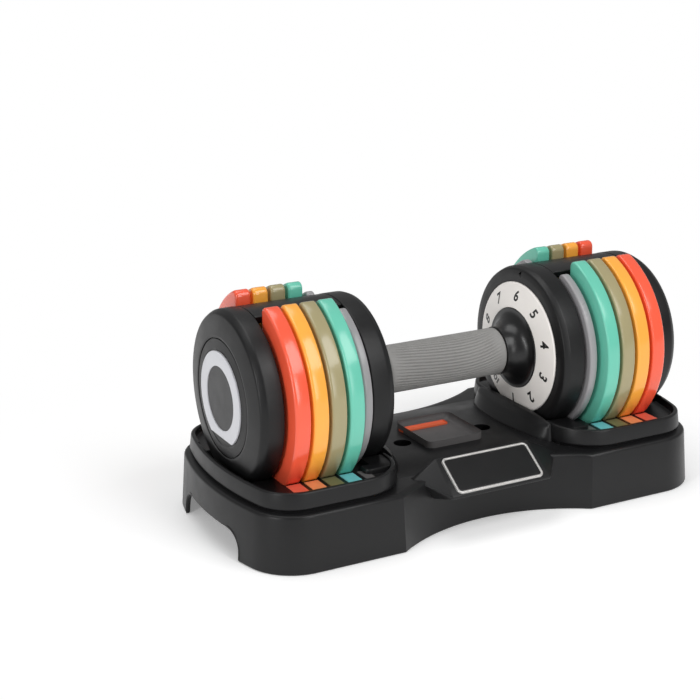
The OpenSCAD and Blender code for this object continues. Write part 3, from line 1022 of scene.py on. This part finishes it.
    def build(self) -> None:
        """Makes every piece of both heads."""
        self.both(self.end_housing(), "end_housing", HOUSING)
        self.both(self.end_cap(), "end_cap", CAP)
        self.both(self.badge_ring(), "badge_ring", RING_PALE)
        self.both(self.badge_disc(), "badge_disc", BADGE_DARK)
        self.both(self.bridge(), "bridge", HOUSING)
        self.both(self.inner_housing(), "inner_housing", HOUSING)


# ---------------------------------------------------------------- selector: grip, hubs, dials


@dataclass
class Selector:
    """Grip, hubs and numbered dials, which turn together."""

    layout: Layout
    body: str = "selector"
    around: int = 460
    along: int = 96
    grooves: int = 46
    groove_depth: float = 0.75
    numbers: int = 10
    rest_number: int = 6
    digit_size: float = 10.8
    digit_r: float = 38.4
    dial_in: float = 29.6
    dial_rise: float = 3.9
    flange_r: float = 29.5

    def wave(self, x: float) -> float:
        """How far the grooves have drifted round the grip at a place along it, in mm.

        Args:
            x: the place along the grip.

        Returns:
            The drift.
        """
        swing = 2.6 * math.cos(math.pi * (x - 10) / 75)
        fall = max(0.0, (x - 12) / 35)
        return swing - 5.0 * fall * fall

    def grip_radius(self, x: float, angle: float, radius: float, half: float) -> float:
        """Radius of the grooved grip at a place along it and round it, in mm.

        Args:
            x: the place along the grip.
            angle: the angle round it, in radians.
            radius: the grip's outer radius.
            half: half its length.

        Returns:
            The radius there.
        """
        fade = min(1.0, max(0.0, (half - abs(x)) / 14))
        fade = fade * fade * (3 - 2 * fade)
        phase = self.grooves * (angle - self.wave(x) / radius)
        groove = (0.5 + 0.5 * math.cos(phase)) ** 3
        edge = max(0.0, 1.6 - (half - abs(x)))
        return radius - self.groove_depth * fade * groove - 0.5 * edge * edge

    def grip(self) -> bpy.types.Object:
        """Grooved rubber grip, rolled up from a grid.

        Returns:
            The finished piece.
        """
        x0, x1 = Layout.span("grip")
        radius = Layout.radius("grip")
        Bench.clear()
        bpy.ops.mesh.primitive_grid_add(x_subdivisions=self.along, y_subdivisions=self.around, size=1)
        made = bpy.context.object
        for vertex in made.data.vertices:
            x = x0 + (x1 - x0) * (vertex.co.x + 0.5)
            angle = 2 * math.pi * (vertex.co.y + 0.5)
            r = self.grip_radius(x, angle, radius, (x1 - x0) / 2)
            vertex.co = Vector((x, r * math.cos(angle), self.layout.axis_mm + r * math.sin(angle))) * MM
        return Bench.settle(made, "grip_rubber_sleeve", Edge.SOFT)

    def hub(self) -> bpy.types.Object:
        """Flared hub from the grip to the dial, with a narrow flange.

        Returns:
            The finished piece.
        """
        x0, _ = Layout.span("right_hub")
        dial_x, back_x = Layout.span("right_dial")
        reach, tip = dial_x - 0.6 - x0, 17.6
        flare: list[Corner] = []
        for k in range(1, 17):
            t = math.pi / 2 * k / 16
            spread = (self.flange_r - 0.8 - tip) * (1 - math.cos(t))
            flare.append((x0 + 0.4 + (reach - 0.4) * math.sin(t), tip + spread, 0))
        return Bench.turn("right_hub_flare", [
            (x0, 12.2, 0), (x0, tip - 0.3, 0.3), (x0 + 0.2, tip, 0.1), *flare,
            (dial_x - 0.6, self.flange_r - 0.3, 0.2), (dial_x - 0.1, self.flange_r, 0.2),
            (back_x, self.flange_r, 0), (back_x, 12.2, 0), (x0, 12.2, 0)], self.layout.axis_z)

    def dial(self) -> bpy.types.Object:
        """Warm white ring with a shallow conical face and rounded rims.

        Returns:
            The finished piece.
        """
        x0, x1 = Layout.span("right_dial")
        rim = Layout.radius("right_dial")
        return Bench.turn("right_dial_ring", [
            (x1, self.dial_in, 0), (x0 + 0.25, self.dial_in, 0.2), (x0, self.dial_in + 0.4, 0.2),
            (x0 + self.dial_rise - 0.25, rim - 0.9, 0.5), (x0 + self.dial_rise + 0.5, rim, 0.5),
            (x1, rim, 0), (x1, self.dial_in, 0)], self.layout.axis_z)

    def digit(self, number: int, side: Side) -> bpy.types.Object:
        """One number of a dial, standing on its place with its top outwards.

        Args:
            number: the number to show.
            side: which dial it is on.

        Returns:
            The number, in its place.
        """
        Bench.clear()
        bpy.ops.object.text_add()
        made = bpy.context.object
        text = made.data
        text.body = str(number)
        text.size = self.digit_size * MM * (0.86 if number > 9 else 1.0)
        text.align_x, text.align_y = "CENTER", "CENTER"
        text.offset = 0.3 * MM
        text.extrude = 0.12 * MM
        text.shear = 0.16
        text.space_character = 0.86
        bpy.ops.object.convert(target="MESH")
        face_x, _ = Layout.span("right_dial")
        slope = math.atan2(self.dial_rise, Layout.radius("right_dial") - self.dial_in)
        face_x += (self.digit_r - self.dial_in) * math.tan(slope)
        lean = Matrix.Rotation(side.value * slope, 4, "Y")
        facing = Matrix(((0, 0, -side.value, 0), (-side.value, 0, 0, 0), (0, 1, 0, 0), (0, 0, 0, 1)))
        angle = math.radians(-(number - self.rest_number) * 360 / self.numbers)
        spin = Matrix.Rotation(angle, 4, "X")
        lift = Matrix.Translation((side.value * face_x * MM, 0, self.digit_r * MM))
        made.data.transform(Matrix.Translation((0, 0, self.layout.axis_z)) @ spin @ lift @ lean @ facing)
        return made

    def digits(self, side: Side) -> bpy.types.Object:
        """All ten numbers of a dial, as one piece.

        Args:
            side: which dial they are on.

        Returns:
            The finished piece.
        """
        made = Bench.join([self.digit(n + 1, side) for n in range(self.numbers)])
        return Bench.settle(made, f"{side.word}_dial_numbers", Edge.CRISP)

    def build(self) -> None:
        """Makes the grip, and a hub, a dial and its numbers at each end."""
        dress(self.grip(), GRIP, self.body, ["grip"])
        for right, node, finish, slot in ((self.hub(), "hub", HUB, "hub_plastic"),
                                          (self.dial(), "dial", DIAL, "dial_ivory")):
            left = Bench.twin(right, right.name.replace("right", "left"))
            dress(right, finish, self.body, [f"right_{node}"])
            dress(left, finish, self.body, [f"left_{node}"])
        for side in Side:
            dress(self.digits(side), INK, self.body)


# ---------------------------------------------------------------- tray


@dataclass
class Tray:
    """Base tray: skirt, deck, cradles, collars, badge block and its small parts."""

    layout: Layout
    body: str = "tray_base"
    waist_x: float = 75.0
    waist_in: float = 23.4
    corner_r: float = 36.0
    end_r: float = 233.0
    shoulder_z: float = 40.0
    deck_z: float = 43.0
    plate_z: float = 48.5
    rim_z: float = 53.5
    rim_in: float = 7.0
    wall: float = 3.0
    collar_x: float = 64.0
    near_r: float = 34.0
    draft: float = 2.9
    saddle_gap: float = 0.4
    arch: Corner = (45.0, 19.0, 14.0)
    bolt_x: float = 33.0
    bolt_y: float = -6.0
    recess: tuple[Point, Point] = ((6.4, 29.0), (3.2, 20.0))
    collar_half: float = 50.5
    collar_reach: float = 15.5
    collar_top: float = 56.0
    collar_drop: float = 2.8
    pad_end: float = 90.5
    pad_half: float = 60.0
    pad_top: float = 52.5
    post_at: Point = (140.0, 62.0)
    half_l: float = field(default=0.0)
    half_w: float = field(default=0.0)

    def __post_init__(self) -> None:
        """Reads the tray's size from the frame."""
        low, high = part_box("tray")
        self.half_w = (high.y - low.y) / 2 / MM
        self.half_l = (high.x - low.x) / 2 / MM + 0.4

    def quarter(self, inset: float) -> list[Point]:
        """One quarter of the tray's plan, from the waist's middle to the end's middle.

        Args:
            inset: how far the outline is drawn in, in mm.

        Returns:
            Points (x, y) in mm with both positive.
        """
        waist_r = (self.waist_x ** 2 + self.waist_in ** 2) / (2 * self.waist_in)
        centre_y = self.half_w - self.waist_in + waist_r
        rise = centre_y - (self.half_w - inset)
        knee = math.degrees(math.acos(rise / (waist_r + inset)))
        reach = self.end_r - self.corner_r
        corner_y = self.half_w - self.corner_r
        corner_x = self.half_l - self.end_r + math.sqrt(reach ** 2 - corner_y ** 2)
        lean = math.degrees(math.asin(corner_y / reach))
        points = arc((0, centre_y), waist_r + inset, -90, -90 + knee, 18)
        points += [(corner_x * 0.8, self.half_w - inset)]
        points += arc((corner_x, corner_y), self.corner_r - inset, 90, lean, 16)
        points += arc((self.half_l - self.end_r, 0), self.end_r - inset, lean, 0, 8)[1:]
        return points

    def plan(self, inset: float, z: float) -> list[Vector]:
        """The tray's whole plan at a height, once round, in metres.

        Args:
            inset: how far the outline is drawn in, in mm.
            z: the height, in mm.

        Returns:
            The outline, once round.
        """
        part = self.quarter(inset)
        half = part + [(x, -y) for x, y in reversed(part[:-1])]
        ring = half + [(-x, y) for x, y in reversed(half[1:-1])]
        return [Vector((x, y, z)) * MM for x, y in ring]

    def skirt(self) -> bpy.types.Object:
        """Hollow skirt with drafted walls, a rolled foot, a soft shoulder and the top face.

        Returns:
            The finished piece.
        """
        top = self.shoulder_z
        levels = rounded([(10.0, top - self.wall, 0), (6.2, top - self.wall, 2.0),
                          (self.wall, 1.0, 0.5), (self.wall - 0.6, 0, 0.6), (0.4, 0, 0.5),
                          (0.0, 0.8, 0.5), (self.draft, top - 0.4, 3.0), (7.4, top, 0.4), (9.0, top, 0)])
        made = Bench.loft("tray_skirt", [self.plan(inset, z) for inset, z in levels])
        for side in Side:
            Bench.cut(made, self.arch_cutter(side))
        self.cut_saddles(made)
        self.cut_bolt_recesses(made)
        return Bench.settle(made, "tray_skirt", Edge.CRISP)

    def arch_outline(self, grow: float) -> list[Point]:
        """Outline (y, z) of an end arch, open at the foot.

        Args:
            grow: how far the outline is let out.

        Returns:
            Points from foot to foot, in mm.
        """
        half, top, round_r = (size + grow for size in self.arch)
        left = [(-half, -4)] + arc((-half + round_r, top - round_r), round_r, 180, 90, 10)
        return left + [(-y, z) for y, z in reversed(left)]

    def arch_cutter(self, side: Side) -> bpy.types.Object:
        """Prism that opens the end wall between its two feet.

        Args:
            side: which end of the bar it is for.

        Returns:
            The cutter.
        """
        near, far = (self.half_l - 22) * side.value, (self.half_l + 6) * side.value
        outline = self.arch_outline(0)
        loops = [[Vector((x, y, z)) * MM for y, z in outline] for x in (near, far)]
        return Bench.loft("arch_cutter", loops)

    def arch_bead(self, side: Side) -> bpy.types.Object:
        """Rolled bead that follows the arch on the outside of the end wall.

        Args:
            side: which end of the bar it is for.

        Returns:
            The finished piece.
        """
        path = [(y, z) for y, z in self.arch_outline(0.6) if z > 1.5]
        path = [(path[0][0], 1.5), *path, (path[-1][0], 1.5)]
        bpy.ops.curve.primitive_bezier_curve_add()
        made = bpy.context.object
        made.data.splines.clear()
        line = made.data.splines.new("POLY")
        line.points.add(len(path) - 1)
        for point, (y, z) in zip(line.points, path):
            inset = self.draft * max(0.0, z) / self.shoulder_z
            end = math.sqrt((self.end_r - inset) ** 2 - y * y) + self.half_l - self.end_r
            point.co = (side.value * (end - 0.9) * MM, y * MM, z * MM, 1)
        made.data.dimensions = "3D"
        made.data.bevel_depth = 1.3 * MM
        made.data.bevel_resolution = 3
        made.data.use_fill_caps = True
        Bench.take(made)
        bpy.ops.object.convert(target="MESH")
        return Bench.settle(bpy.context.object, f"tray_arch_bead_{side.word}")

    def cut_saddles(self, piece: bpy.types.Object) -> None:
        """Hollows a piece where the round housings sink into it.

        Args:
            piece: the object to change.
        """
        radius = (self.layout.housing_r + self.saddle_gap) * MM
        inner = Layout.span("right_inner_housing")
        outer = Layout.span("right_end_housing")
        for side in Side:
            for x0, x1 in ((inner[0] - 2.3, inner[1] + 0.7), (outer[0] - 1.6, outer[1] + 2.4)):
                start = Vector((side.value * x0 * MM, 0, self.layout.axis_z))
                end = Vector((side.value * x1 * MM, 0, self.layout.axis_z))
                Bench.cut(piece, Bench.rod(start, end, radius, 160))

    def drill(self, piece: bpy.types.Object, x: float) -> None:
        """Opens a recessed screw hole.

        Args:
            piece: the object to change.
            x: where the hole is along the tray, in mm.
        """
        for radius, low in self.recess:
            start, end = Vector((x, self.bolt_y, low)) * MM, Vector((x, self.bolt_y, 60)) * MM
            Bench.cut(piece, Bench.rod(start, end, radius * MM, 64))

    def cut_bolt_recesses(self, piece: bpy.types.Object) -> None:
        """Opens the two recessed screw holes in the deck.

        Args:
            piece: the object to change.
        """
        for side in Side:
            self.drill(piece, self.bolt_x * side.value)

    def bolt_cup(self, side: Side) -> bpy.types.Object:
        """Boss under the deck with the screw hole in its floor.

        Args:
            side: which end of the bar it is for.

        Returns:
            The finished piece.
        """
        x = self.bolt_x * side.value
        low, high = Vector((x, self.bolt_y, 26)) * MM, Vector((x, self.bolt_y, 42.4)) * MM
        made = Bench.rod(low, high, 8.9 * MM, 64)
        self.drill(made, x)
        return Bench.settle(made, f"tray_bolt_cup_{side.word}", Edge.CRISP)

    def rim_quarter(self, inset: float) -> list[Point]:
        """Half of a right-hand cradle's plan, from the collar's middle to the end's middle.

        Args:
            inset: how far the outline is drawn in.

        Returns:
            Points (x, y) in mm with y positive.
        """
        half_w = self.half_w - 7 - inset
        centre_x, near = self.collar_x + self.near_r, self.near_r - inset
        points = [(self.collar_x + inset, 0.0), (self.collar_x + inset, half_w - near)]
        points += arc((centre_x, half_w - near), near, 180, 90, 14)[1:]
        radius, end = self.corner_r - self.rim_in - inset, self.end_r - inset
        half_l = self.half_l - self.rim_in
        reach = self.end_r - (self.corner_r - self.rim_in)
        corner_y = half_w - radius
        corner_x = half_l - self.end_r + math.sqrt(reach ** 2 - corner_y ** 2)
        lean = math.degrees(math.asin(corner_y / reach))
        points += arc((corner_x, corner_y), radius, 90, lean, 14)
        points += arc((half_l - self.end_r, 0), end, lean, 0, 8)[1:]
        return points

    def rim_plan(self, inset: float, z: float, side: Side) -> list[Vector]:
        """A cradle's whole plan at a height, in metres.

        Args:
            inset: how far the outline is drawn in, in mm.
            z: the height, in mm.
            side: which end of the bar it is for.

        Returns:
            The outline, once round.
        """
        part = self.rim_quarter(inset)
        ring = part + [(x, -y) for x, y in reversed(part[1:-1])]
        return [Vector((side.value * x, y, z)) * MM for x, y in ring]

    def cradle(self, side: Side) -> bpy.types.Object:
        """Cradle block: ridge over the groove, sloping rim wall, lip, and the sunk floor.

        Args:
            side: which end of the bar it is for.

        Returns:
            The finished piece.
        """
        base = self.shoulder_z - 1.0
        levels = rounded([(3.0, base, 0), (1.6, base, 0), (1.4, base + 2.2, 0.8), (0.0, base + 3.4, 1.6),
                          (1.3, self.rim_z - 0.6, 2.0), (2.6, self.rim_z, 0.7),
                          (4.2, self.rim_z - 0.1, 0.8), (5.0, self.plate_z + 0.2, 0.8),
                          (6.4, self.plate_z, 0)])
        made = Bench.loft(f"tray_cradle_{side.word}",
                          [self.rim_plan(inset, z, side) for inset, z in levels])
        self.cut_saddles(made)
        return Bench.settle(made, f"tray_cradle_{side.word}", Edge.CRISP)

    def pad(self, side: Side) -> bpy.types.Object:
        """Raised rest round the inner housing, hollowed to its belly.

        Args:
            side: which end of the bar it is for.

        Returns:
            The finished piece.
        """
        x0, x1, half, top = self.collar_x + 1.5, self.pad_end, self.pad_half, self.pad_top
        outline = [(x0, -half + 10), *arc((x0 + 10, -half + 10), 10, 180, 270, 8)]
        outline += arc((x1 - 4, -half + 4), 4, 270, 360, 6)
        outline = outline + [(x, -y) for x, y in reversed(outline)]
        levels = [(0.0, self.shoulder_z), (0.0, top - 1.4), (0.4, top - 0.4), (1.4, top)]
        loops = []
        for inset, z in levels:
            loop = []
            for x, y in outline:
                px = x + inset * math.copysign(1, (x0 + x1) / 2 - x)
                py = y - inset * math.copysign(1, y)
                loop.append(Vector((side.value * px, py, z)) * MM)
            loops.append(loop)
        made = Bench.loft(f"tray_pad_{side.word}", loops)
        self.cut_saddles(made)
        start = Vector((side.value * 84 * MM, 0, self.layout.axis_z))
        end = Vector((side.value * 100 * MM, 0, self.layout.axis_z))
        Bench.cut(made, Bench.rod(start, end, 68.5 * MM, 160))
        return Bench.settle(made, f"tray_pad_{side.word}", Edge.CRISP)

    def collar(self, side: Side) -> bpy.types.Object:
        """Half-moon wall in front of a dial: straight on top, bulging at the deck.

        Args:
            side: which end of the bar it is for.

        Returns:
            The finished piece.
        """
        base = self.shoulder_z - 2
        levels = rounded([(0.0, 1.0, 0), (0.1, 1.0, 0), (0.35, 0.93, 0.1), (0.8, 0.55, 0.3),
                          (0.97, 0.2, 0.06), (1.0, 0.04, 0.02), (1.0, 0.0, 0)], 4)
        end_top = self.collar_top - self.collar_drop
        loops = []
        for up, bulge in levels:
            half = self.collar_half - 3 * up
            loop = []
            for k in range(33):
                a = math.radians(-90 + 180 * k / 32)
                x = self.collar_x + 0.4 - self.collar_reach * bulge * math.cos(a)
                top = self.collar_top - self.collar_drop * math.sin(a) ** 4
                z = base + (top - base) * up
                loop.append(Vector((side.value * x, half * math.sin(a), z)) * MM)
            lip = max(0.0, (up - 0.93) / 0.07)
            x = self.collar_x + 1.6 - 0.8 * lip
            z = base + (end_top - base) * up
            for y in (half - 0.5, 0.5 - half):
                loop.append(Vector((side.value * x, y, z)) * MM)
            loops.append(loop)
        made = Bench.loft(f"tray_collar_{side.word}", loops)
        return Bench.settle(made, f"tray_collar_{side.word}", Edge.SOFT)

    def deck(self) -> bpy.types.Object:
        """Raised deck between the cradles, sloping to the shoulder at front and back.

        Returns:
            The finished piece.
        """
        far = self.collar_x + 1
        made = Bench.hull([
            (Vector((-far, -32, self.deck_z - 1)) * MM, Vector((far, 32, self.deck_z)) * MM),
            (Vector((-far, -57, self.shoulder_z - 1)) * MM, Vector((far, 57, self.shoulder_z + 0.05)) * MM),
        ], "tray_deck", 0.8)
        self.cut_bolt_recesses(made)
        return Bench.settle(made, "tray_deck", Edge.CRISP)

    def badge_block(self) -> bpy.types.Object:
        """Wedge that carries the badge on the front wall.

        Returns:
            The finished piece.
        """
        half_w = self.half_w
        return Bench.hull([
            (Vector((-37, -59, 48.6)) * MM, Vector((37, -58, 49.6)) * MM),
            (Vector((-39, -half_w + 0.3, 30)) * MM, Vector((39, -half_w + 1.3, 32)) * MM),
            (Vector((-57, -64, self.shoulder_z - 1)) * MM, Vector((57, -60, self.shoulder_z + 0.2)) * MM),
            (Vector((-44, -64, 24)) * MM, Vector((44, -61, 25)) * MM),
        ], "tray_badge_block", 1.0)

    def foot_post(self, x: float, y: float, name: str) -> bpy.types.Object:
        """Post that carries a rubber foot under a corner.

        Args:
            x: its place along the tray, in mm.
            y: its place across the tray, in mm.
            name: the piece's name.

        Returns:
            The finished piece.
        """
        made = Bench.rod(Vector((x, y, 4)) * MM, Vector((x, y, 38)) * MM, 6 * MM, 48)
        Bench.bevel(made, 0.6, 2, 40)
        return Bench.settle(made, name, Edge.CRISP)

    def build(self) -> None:
        """Makes the tray's pieces; the skirt stands for the CAD tray."""
        dress(self.skirt(), TRAY, self.body, ["tray"])
        pieces = [self.deck(), self.badge_block(), self.bolt_cup(Side.LEFT), self.bolt_cup(Side.RIGHT)]
        for side in Side:
            pieces += [self.cradle(side), self.collar(side), self.pad(side), self.arch_bead(side)]
            x, y = self.post_at[0] * side.value, self.post_at[1]
            pieces += [self.foot_post(x, -y, f"tray_post_front_{side.word}"),
                       self.foot_post(x, y, f"tray_post_back_{side.word}")]
        for piece in pieces:
            dress(piece, TRAY, self.body)


# ---------------------------------------------------------------- badge on the block


@dataclass
class Label:
    """Bare grey panel on the deck, with one plain orange band along its back edge."""

    band: tuple[float, float] = (38.0, 7.0)
    band_y: float = 15.5
    band_x: float = -4.0
    thick: float = 0.12

    def build(self) -> None:
        """Makes the panel and its band."""
        low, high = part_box("label_panel")
        panel = Bench.block(low, high)
        Bench.round_plan(panel, 5.0)
        dress(Bench.settle(panel, "label_panel_film", Edge.CRISP), LABEL, "tray_base",
              ["label_panel"])
        half_x, half_y = self.band[0] / 2 * MM, self.band[1] / 2 * MM
        middle = (low + high) / 2 + Vector((self.band_x, self.band_y, 0)) * MM
        middle.z = high.z
        reach = Vector((half_x, half_y, 0))
        band = Bench.block(middle - reach, middle + reach + Vector((0, 0, self.thick * MM)))
        Bench.round_plan(band, 1.2)
        dress(Bench.settle(band, "label_orange_band", Edge.CRISP), BAND, "tray_base")


@dataclass
class Badge:
    """Bare badge: a silver frame round a black plate on the block's slope."""

    width: float = 69.0
    height: float = 30.0
    corner: float = 4.0
    border: float = 1.8
    low: Point = (-86.0, 32.0)
    high: Point = (-59.0, 49.6)

    def place(self) -> Matrix:
        """From the badge's own plane to the block's slope.

        Returns:
            The matrix.
        """
        tilt = math.atan2(self.high[1] - self.low[1], self.high[0] - self.low[0])
        middle = Vector((0, (self.low[0] + self.high[0]) / 2, (self.low[1] + self.high[1]) / 2)) * MM
        return Matrix.Translation(middle) @ Matrix.Rotation(tilt, 4, "X")

    def outline(self, inset: float, z: float) -> list[Vector]:
        """Rounded rectangle at a height above the slope.

        Args:
            inset: how far the outline is drawn in, in mm.
            z: the height above the slope, in mm.

        Returns:
            The outline, once round.
        """
        w, h, r = self.width / 2 - inset, self.height / 2 - inset, max(0.6, self.corner - inset)
        points: list[Point] = []
        for start, sx, sy in ((0, 1, 1), (90, -1, 1), (180, -1, -1), (270, 1, -1)):
            points += arc((sx * (w - r), sy * (h - r)), r, start, start + 90, 10)
        return [self.place() @ (Vector((x, y, z)) * MM) for x, y in points]

    def build(self) -> None:
        """Makes the frame and the plate."""
        b = self.border
        section = [(0.0, -0.3), (0.0, 0.8), (0.35, 1.3), (b / 2, 1.42), (b - 0.35, 1.3), (b, 0.9),
                   (b, -0.3), (0.0, -0.3)]
        ring = Bench.loft("badge_frame_silver", [self.outline(i, z) for i, z in section], False, False)
        dress(ring, FRAME_SILVER, "tray_base", ["badge_frame"])
        face = [(b - 0.05, -0.3), (b - 0.05, 0.5), (b + 0.3, 0.75), (b + 1.2, 0.8)]
        plate = Bench.loft("badge_plate_bare", [self.outline(i, z) for i, z in face])
        dress(plate, BADGE_BLACK, "tray_base", ["badge_plate"])


# ---------------------------------------------------------------- CAD nodes that stay


@dataclass
class Internals:
    """Finishes for the CAD nodes that are shown as they are."""

    finishes: dict[str, Finish] = field(default_factory=lambda: {
        "foot_rubber": RUBBER, "label_film": LABEL, "bright_steel": STEEL, "spring_steel": WIRE,
        "zinc_steel": ZINC, "bush_bronze": BRONZE, "cam_nylon": NYLON, "housing_plastic": HOUSING,
        "hub_plastic": HUB, "tag_orange": tag_finish("tag_orange_satin", (240, 112, 88)),
        "tag_amber": tag_finish("tag_light_orange_satin", (246, 160, 108)),
        "tag_olive": tag_finish("tag_olive_satin", (124, 124, 86)),
        "tag_blue": tag_finish("tag_light_blue_satin", (124, 208, 214)),
        "tag_grey": tag_finish("tag_grey_satin", (108, 104, 104)),
    })

    def build(self) -> None:
        """Dresses every CAD node that no new piece stands for."""
        for row in frame["record"]["subparts"]:
            node = frame["nodes"][row["node"]]
            finish = self.finishes.get(row["material_slot"])
            if node.hide_render or finish is None:
                continue
            node.data.materials.clear()
            node.data.materials.append(finish.material())
            log.info("dressed %s as %s", row["node"], finish.name)


# ---------------------------------------------------------------- studio


@dataclass
class Studio:
    """Camera, white floor and soft lights."""

    camera_at: tuple[float, float, float] = (-0.55005, -0.91942, 0.44318)
    azimuth: float = 27.523
    elevation: float = 17.505
    roll: float = -0.532
    lens: float = 81.42
    fade: Point = (0.18, 0.42)
    paper_white: float = 0.94
    paper_glow: float = 0.22
    room: float = 0.35
    aim: tuple[float, float, float] = (0.0, 0.0, 0.08)
    lamps: tuple[tuple[str, tuple[float, float, float], Point, float], ...] = (
        ("key", (0.35, -0.9, 1.15), (0.8, 0.8), 8),
        ("top", (-0.2, 0.25, 1.4), (1.2, 0.7), 6),
        ("side", (-1.3, -0.55, 0.5), (0.22, 0.8), 5),
        ("strip", (0.2, -1.5, 0.5), (0.3, 0.7), 3))

    def camera(self) -> None:
        """Sets the camera at its place, looking along its bearing."""
        az, el = math.radians(self.azimuth), math.radians(self.elevation)
        ahead = Vector((math.sin(az) * math.cos(el), math.cos(az) * math.cos(el), -math.sin(el)))
        data = bpy.data.cameras.new("camera")
        data.lens = self.lens
        made = bpy.data.objects.new("camera", data)
        bpy.context.scene.collection.objects.link(made)
        turn = ahead.to_track_quat("-Z", "Y").to_matrix().to_4x4()
        turn = turn @ Matrix.Rotation(math.radians(self.roll), 4, "Z")
        made.matrix_world = Matrix.Translation(self.camera_at) @ turn
        bpy.context.scene.camera = made

    def paper(self) -> bpy.types.Material:
        """White paper: it holds the shadow near the tray and fades to pure white further out.

        Returns:
            The material.
        """
        made = bpy.data.materials.new("studio_paper")
        made.use_nodes = True
        nodes, links = made.node_tree.nodes, made.node_tree.links
        paper, white = nodes["Principled BSDF"], nodes.new("ShaderNodeEmission")
        paper.inputs["Base Color"].default_value = (*[self.paper_white] * 3, 1)
        paper.inputs["Emission Color"].default_value = (1, 1, 1, 1)
        paper.inputs["Emission Strength"].default_value = self.paper_glow
        paper.inputs["Roughness"].default_value = 0.9
        paper.inputs["Specular IOR Level"].default_value = 0.0
        coords, length = nodes.new("ShaderNodeTexCoord"), nodes.new("ShaderNodeVectorMath")
        length.operation = "LENGTH"
        fade, path = nodes.new("ShaderNodeMapRange"), nodes.new("ShaderNodeLightPath")
        fade.interpolation_type = "SMOOTHSTEP"
        fade.inputs["From Min"].default_value, fade.inputs["From Max"].default_value = self.fade
        seen, gate = nodes.new("ShaderNodeMath"), nodes.new("ShaderNodeMath")
        seen.operation, gate.operation = "MAXIMUM", "MULTIPLY"
        mix = nodes.new("ShaderNodeMixShader")
        links.new(coords.outputs["Object"], length.inputs[0])
        links.new(length.outputs["Value"], fade.inputs["Value"])
        links.new(path.outputs["Is Camera Ray"], seen.inputs[0])
        links.new(path.outputs["Is Glossy Ray"], seen.inputs[1])
        links.new(seen.outputs["Value"], gate.inputs[0])
        links.new(fade.outputs["Result"], gate.inputs[1])
        links.new(gate.outputs["Value"], mix.inputs["Fac"])
        links.new(paper.outputs["BSDF"], mix.inputs[1])
        links.new(white.outputs["Emission"], mix.inputs[2])
        links.new(mix.outputs["Shader"], nodes["Material Output"].inputs["Surface"])
        return made

    def floor(self) -> None:
        """Adds the floor under the tray."""
        Bench.clear()
        bpy.ops.mesh.primitive_plane_add(size=8, location=(0, 0, -0.0003))
        made = bpy.context.object
        made.name = "studio_floor"
        made.data.materials.append(self.paper())

    def lamp(self, name: str, place: tuple[float, float, float], size: Point, power: float) -> None:
        """Adds a softbox aimed at the dumbbell.

        Args:
            name: the lamp's name.
            place: where it stands, in metres.
            size: its width and height, in metres.
            power: its power, in watts.
        """
        data = bpy.data.lights.new(name, "AREA")
        data.shape = "RECTANGLE"
        data.size, data.size_y = size
        data.energy = power
        made = bpy.data.objects.new(name, data)
        bpy.context.scene.collection.objects.link(made)
        made.location = place
        aim = Vector(self.aim) - made.location
        made.rotation_euler = aim.to_track_quat("-Z", "Y").to_euler()

    def world(self) -> None:
        """White surroundings: plain light, and pure white where the camera sees them."""
        world = bpy.data.worlds.new("studio_world")
        bpy.context.scene.world = world
        world.use_nodes = True
        nodes, links = world.node_tree.nodes, world.node_tree.links
        nodes.clear()
        dim, white = nodes.new("ShaderNodeBackground"), nodes.new("ShaderNodeBackground")
        dim.inputs["Strength"].default_value = self.room
        white.inputs["Color"].default_value = (1, 1, 1, 1)
        mix, out = nodes.new("ShaderNodeMixShader"), nodes.new("ShaderNodeOutputWorld")
        path = nodes.new("ShaderNodeLightPath")
        dim.inputs["Color"].default_value = (1, 1, 1, 1)
        links.new(path.outputs["Is Camera Ray"], mix.inputs["Fac"])
        links.new(dim.outputs["Background"], mix.inputs[1])
        links.new(white.outputs["Background"], mix.inputs[2])
        links.new(mix.outputs["Shader"], out.inputs["Surface"])

    def build(self) -> None:
        """Sets up the whole studio."""
        bpy.context.scene.view_settings.view_transform = "Standard"
        self.camera()
        self.floor()
        self.world()
        for name, place, size, power in self.lamps:
            self.lamp(name, place, size, power)


def main() -> None:
    """Builds every sub-assembly around the frame."""
    logging.basicConfig(level=logging.INFO, format="%(name)s: %(message)s")
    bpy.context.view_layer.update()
    layout = Layout()
    PlateStack(layout).build()
    Head(layout).build()
    Selector(layout).build()
    Tray(layout).build()
    Label().build()
    Badge().build()
    Internals().build()
    Studio().build()
    Bench.clear()


if __name__ == "__main__":
    main()
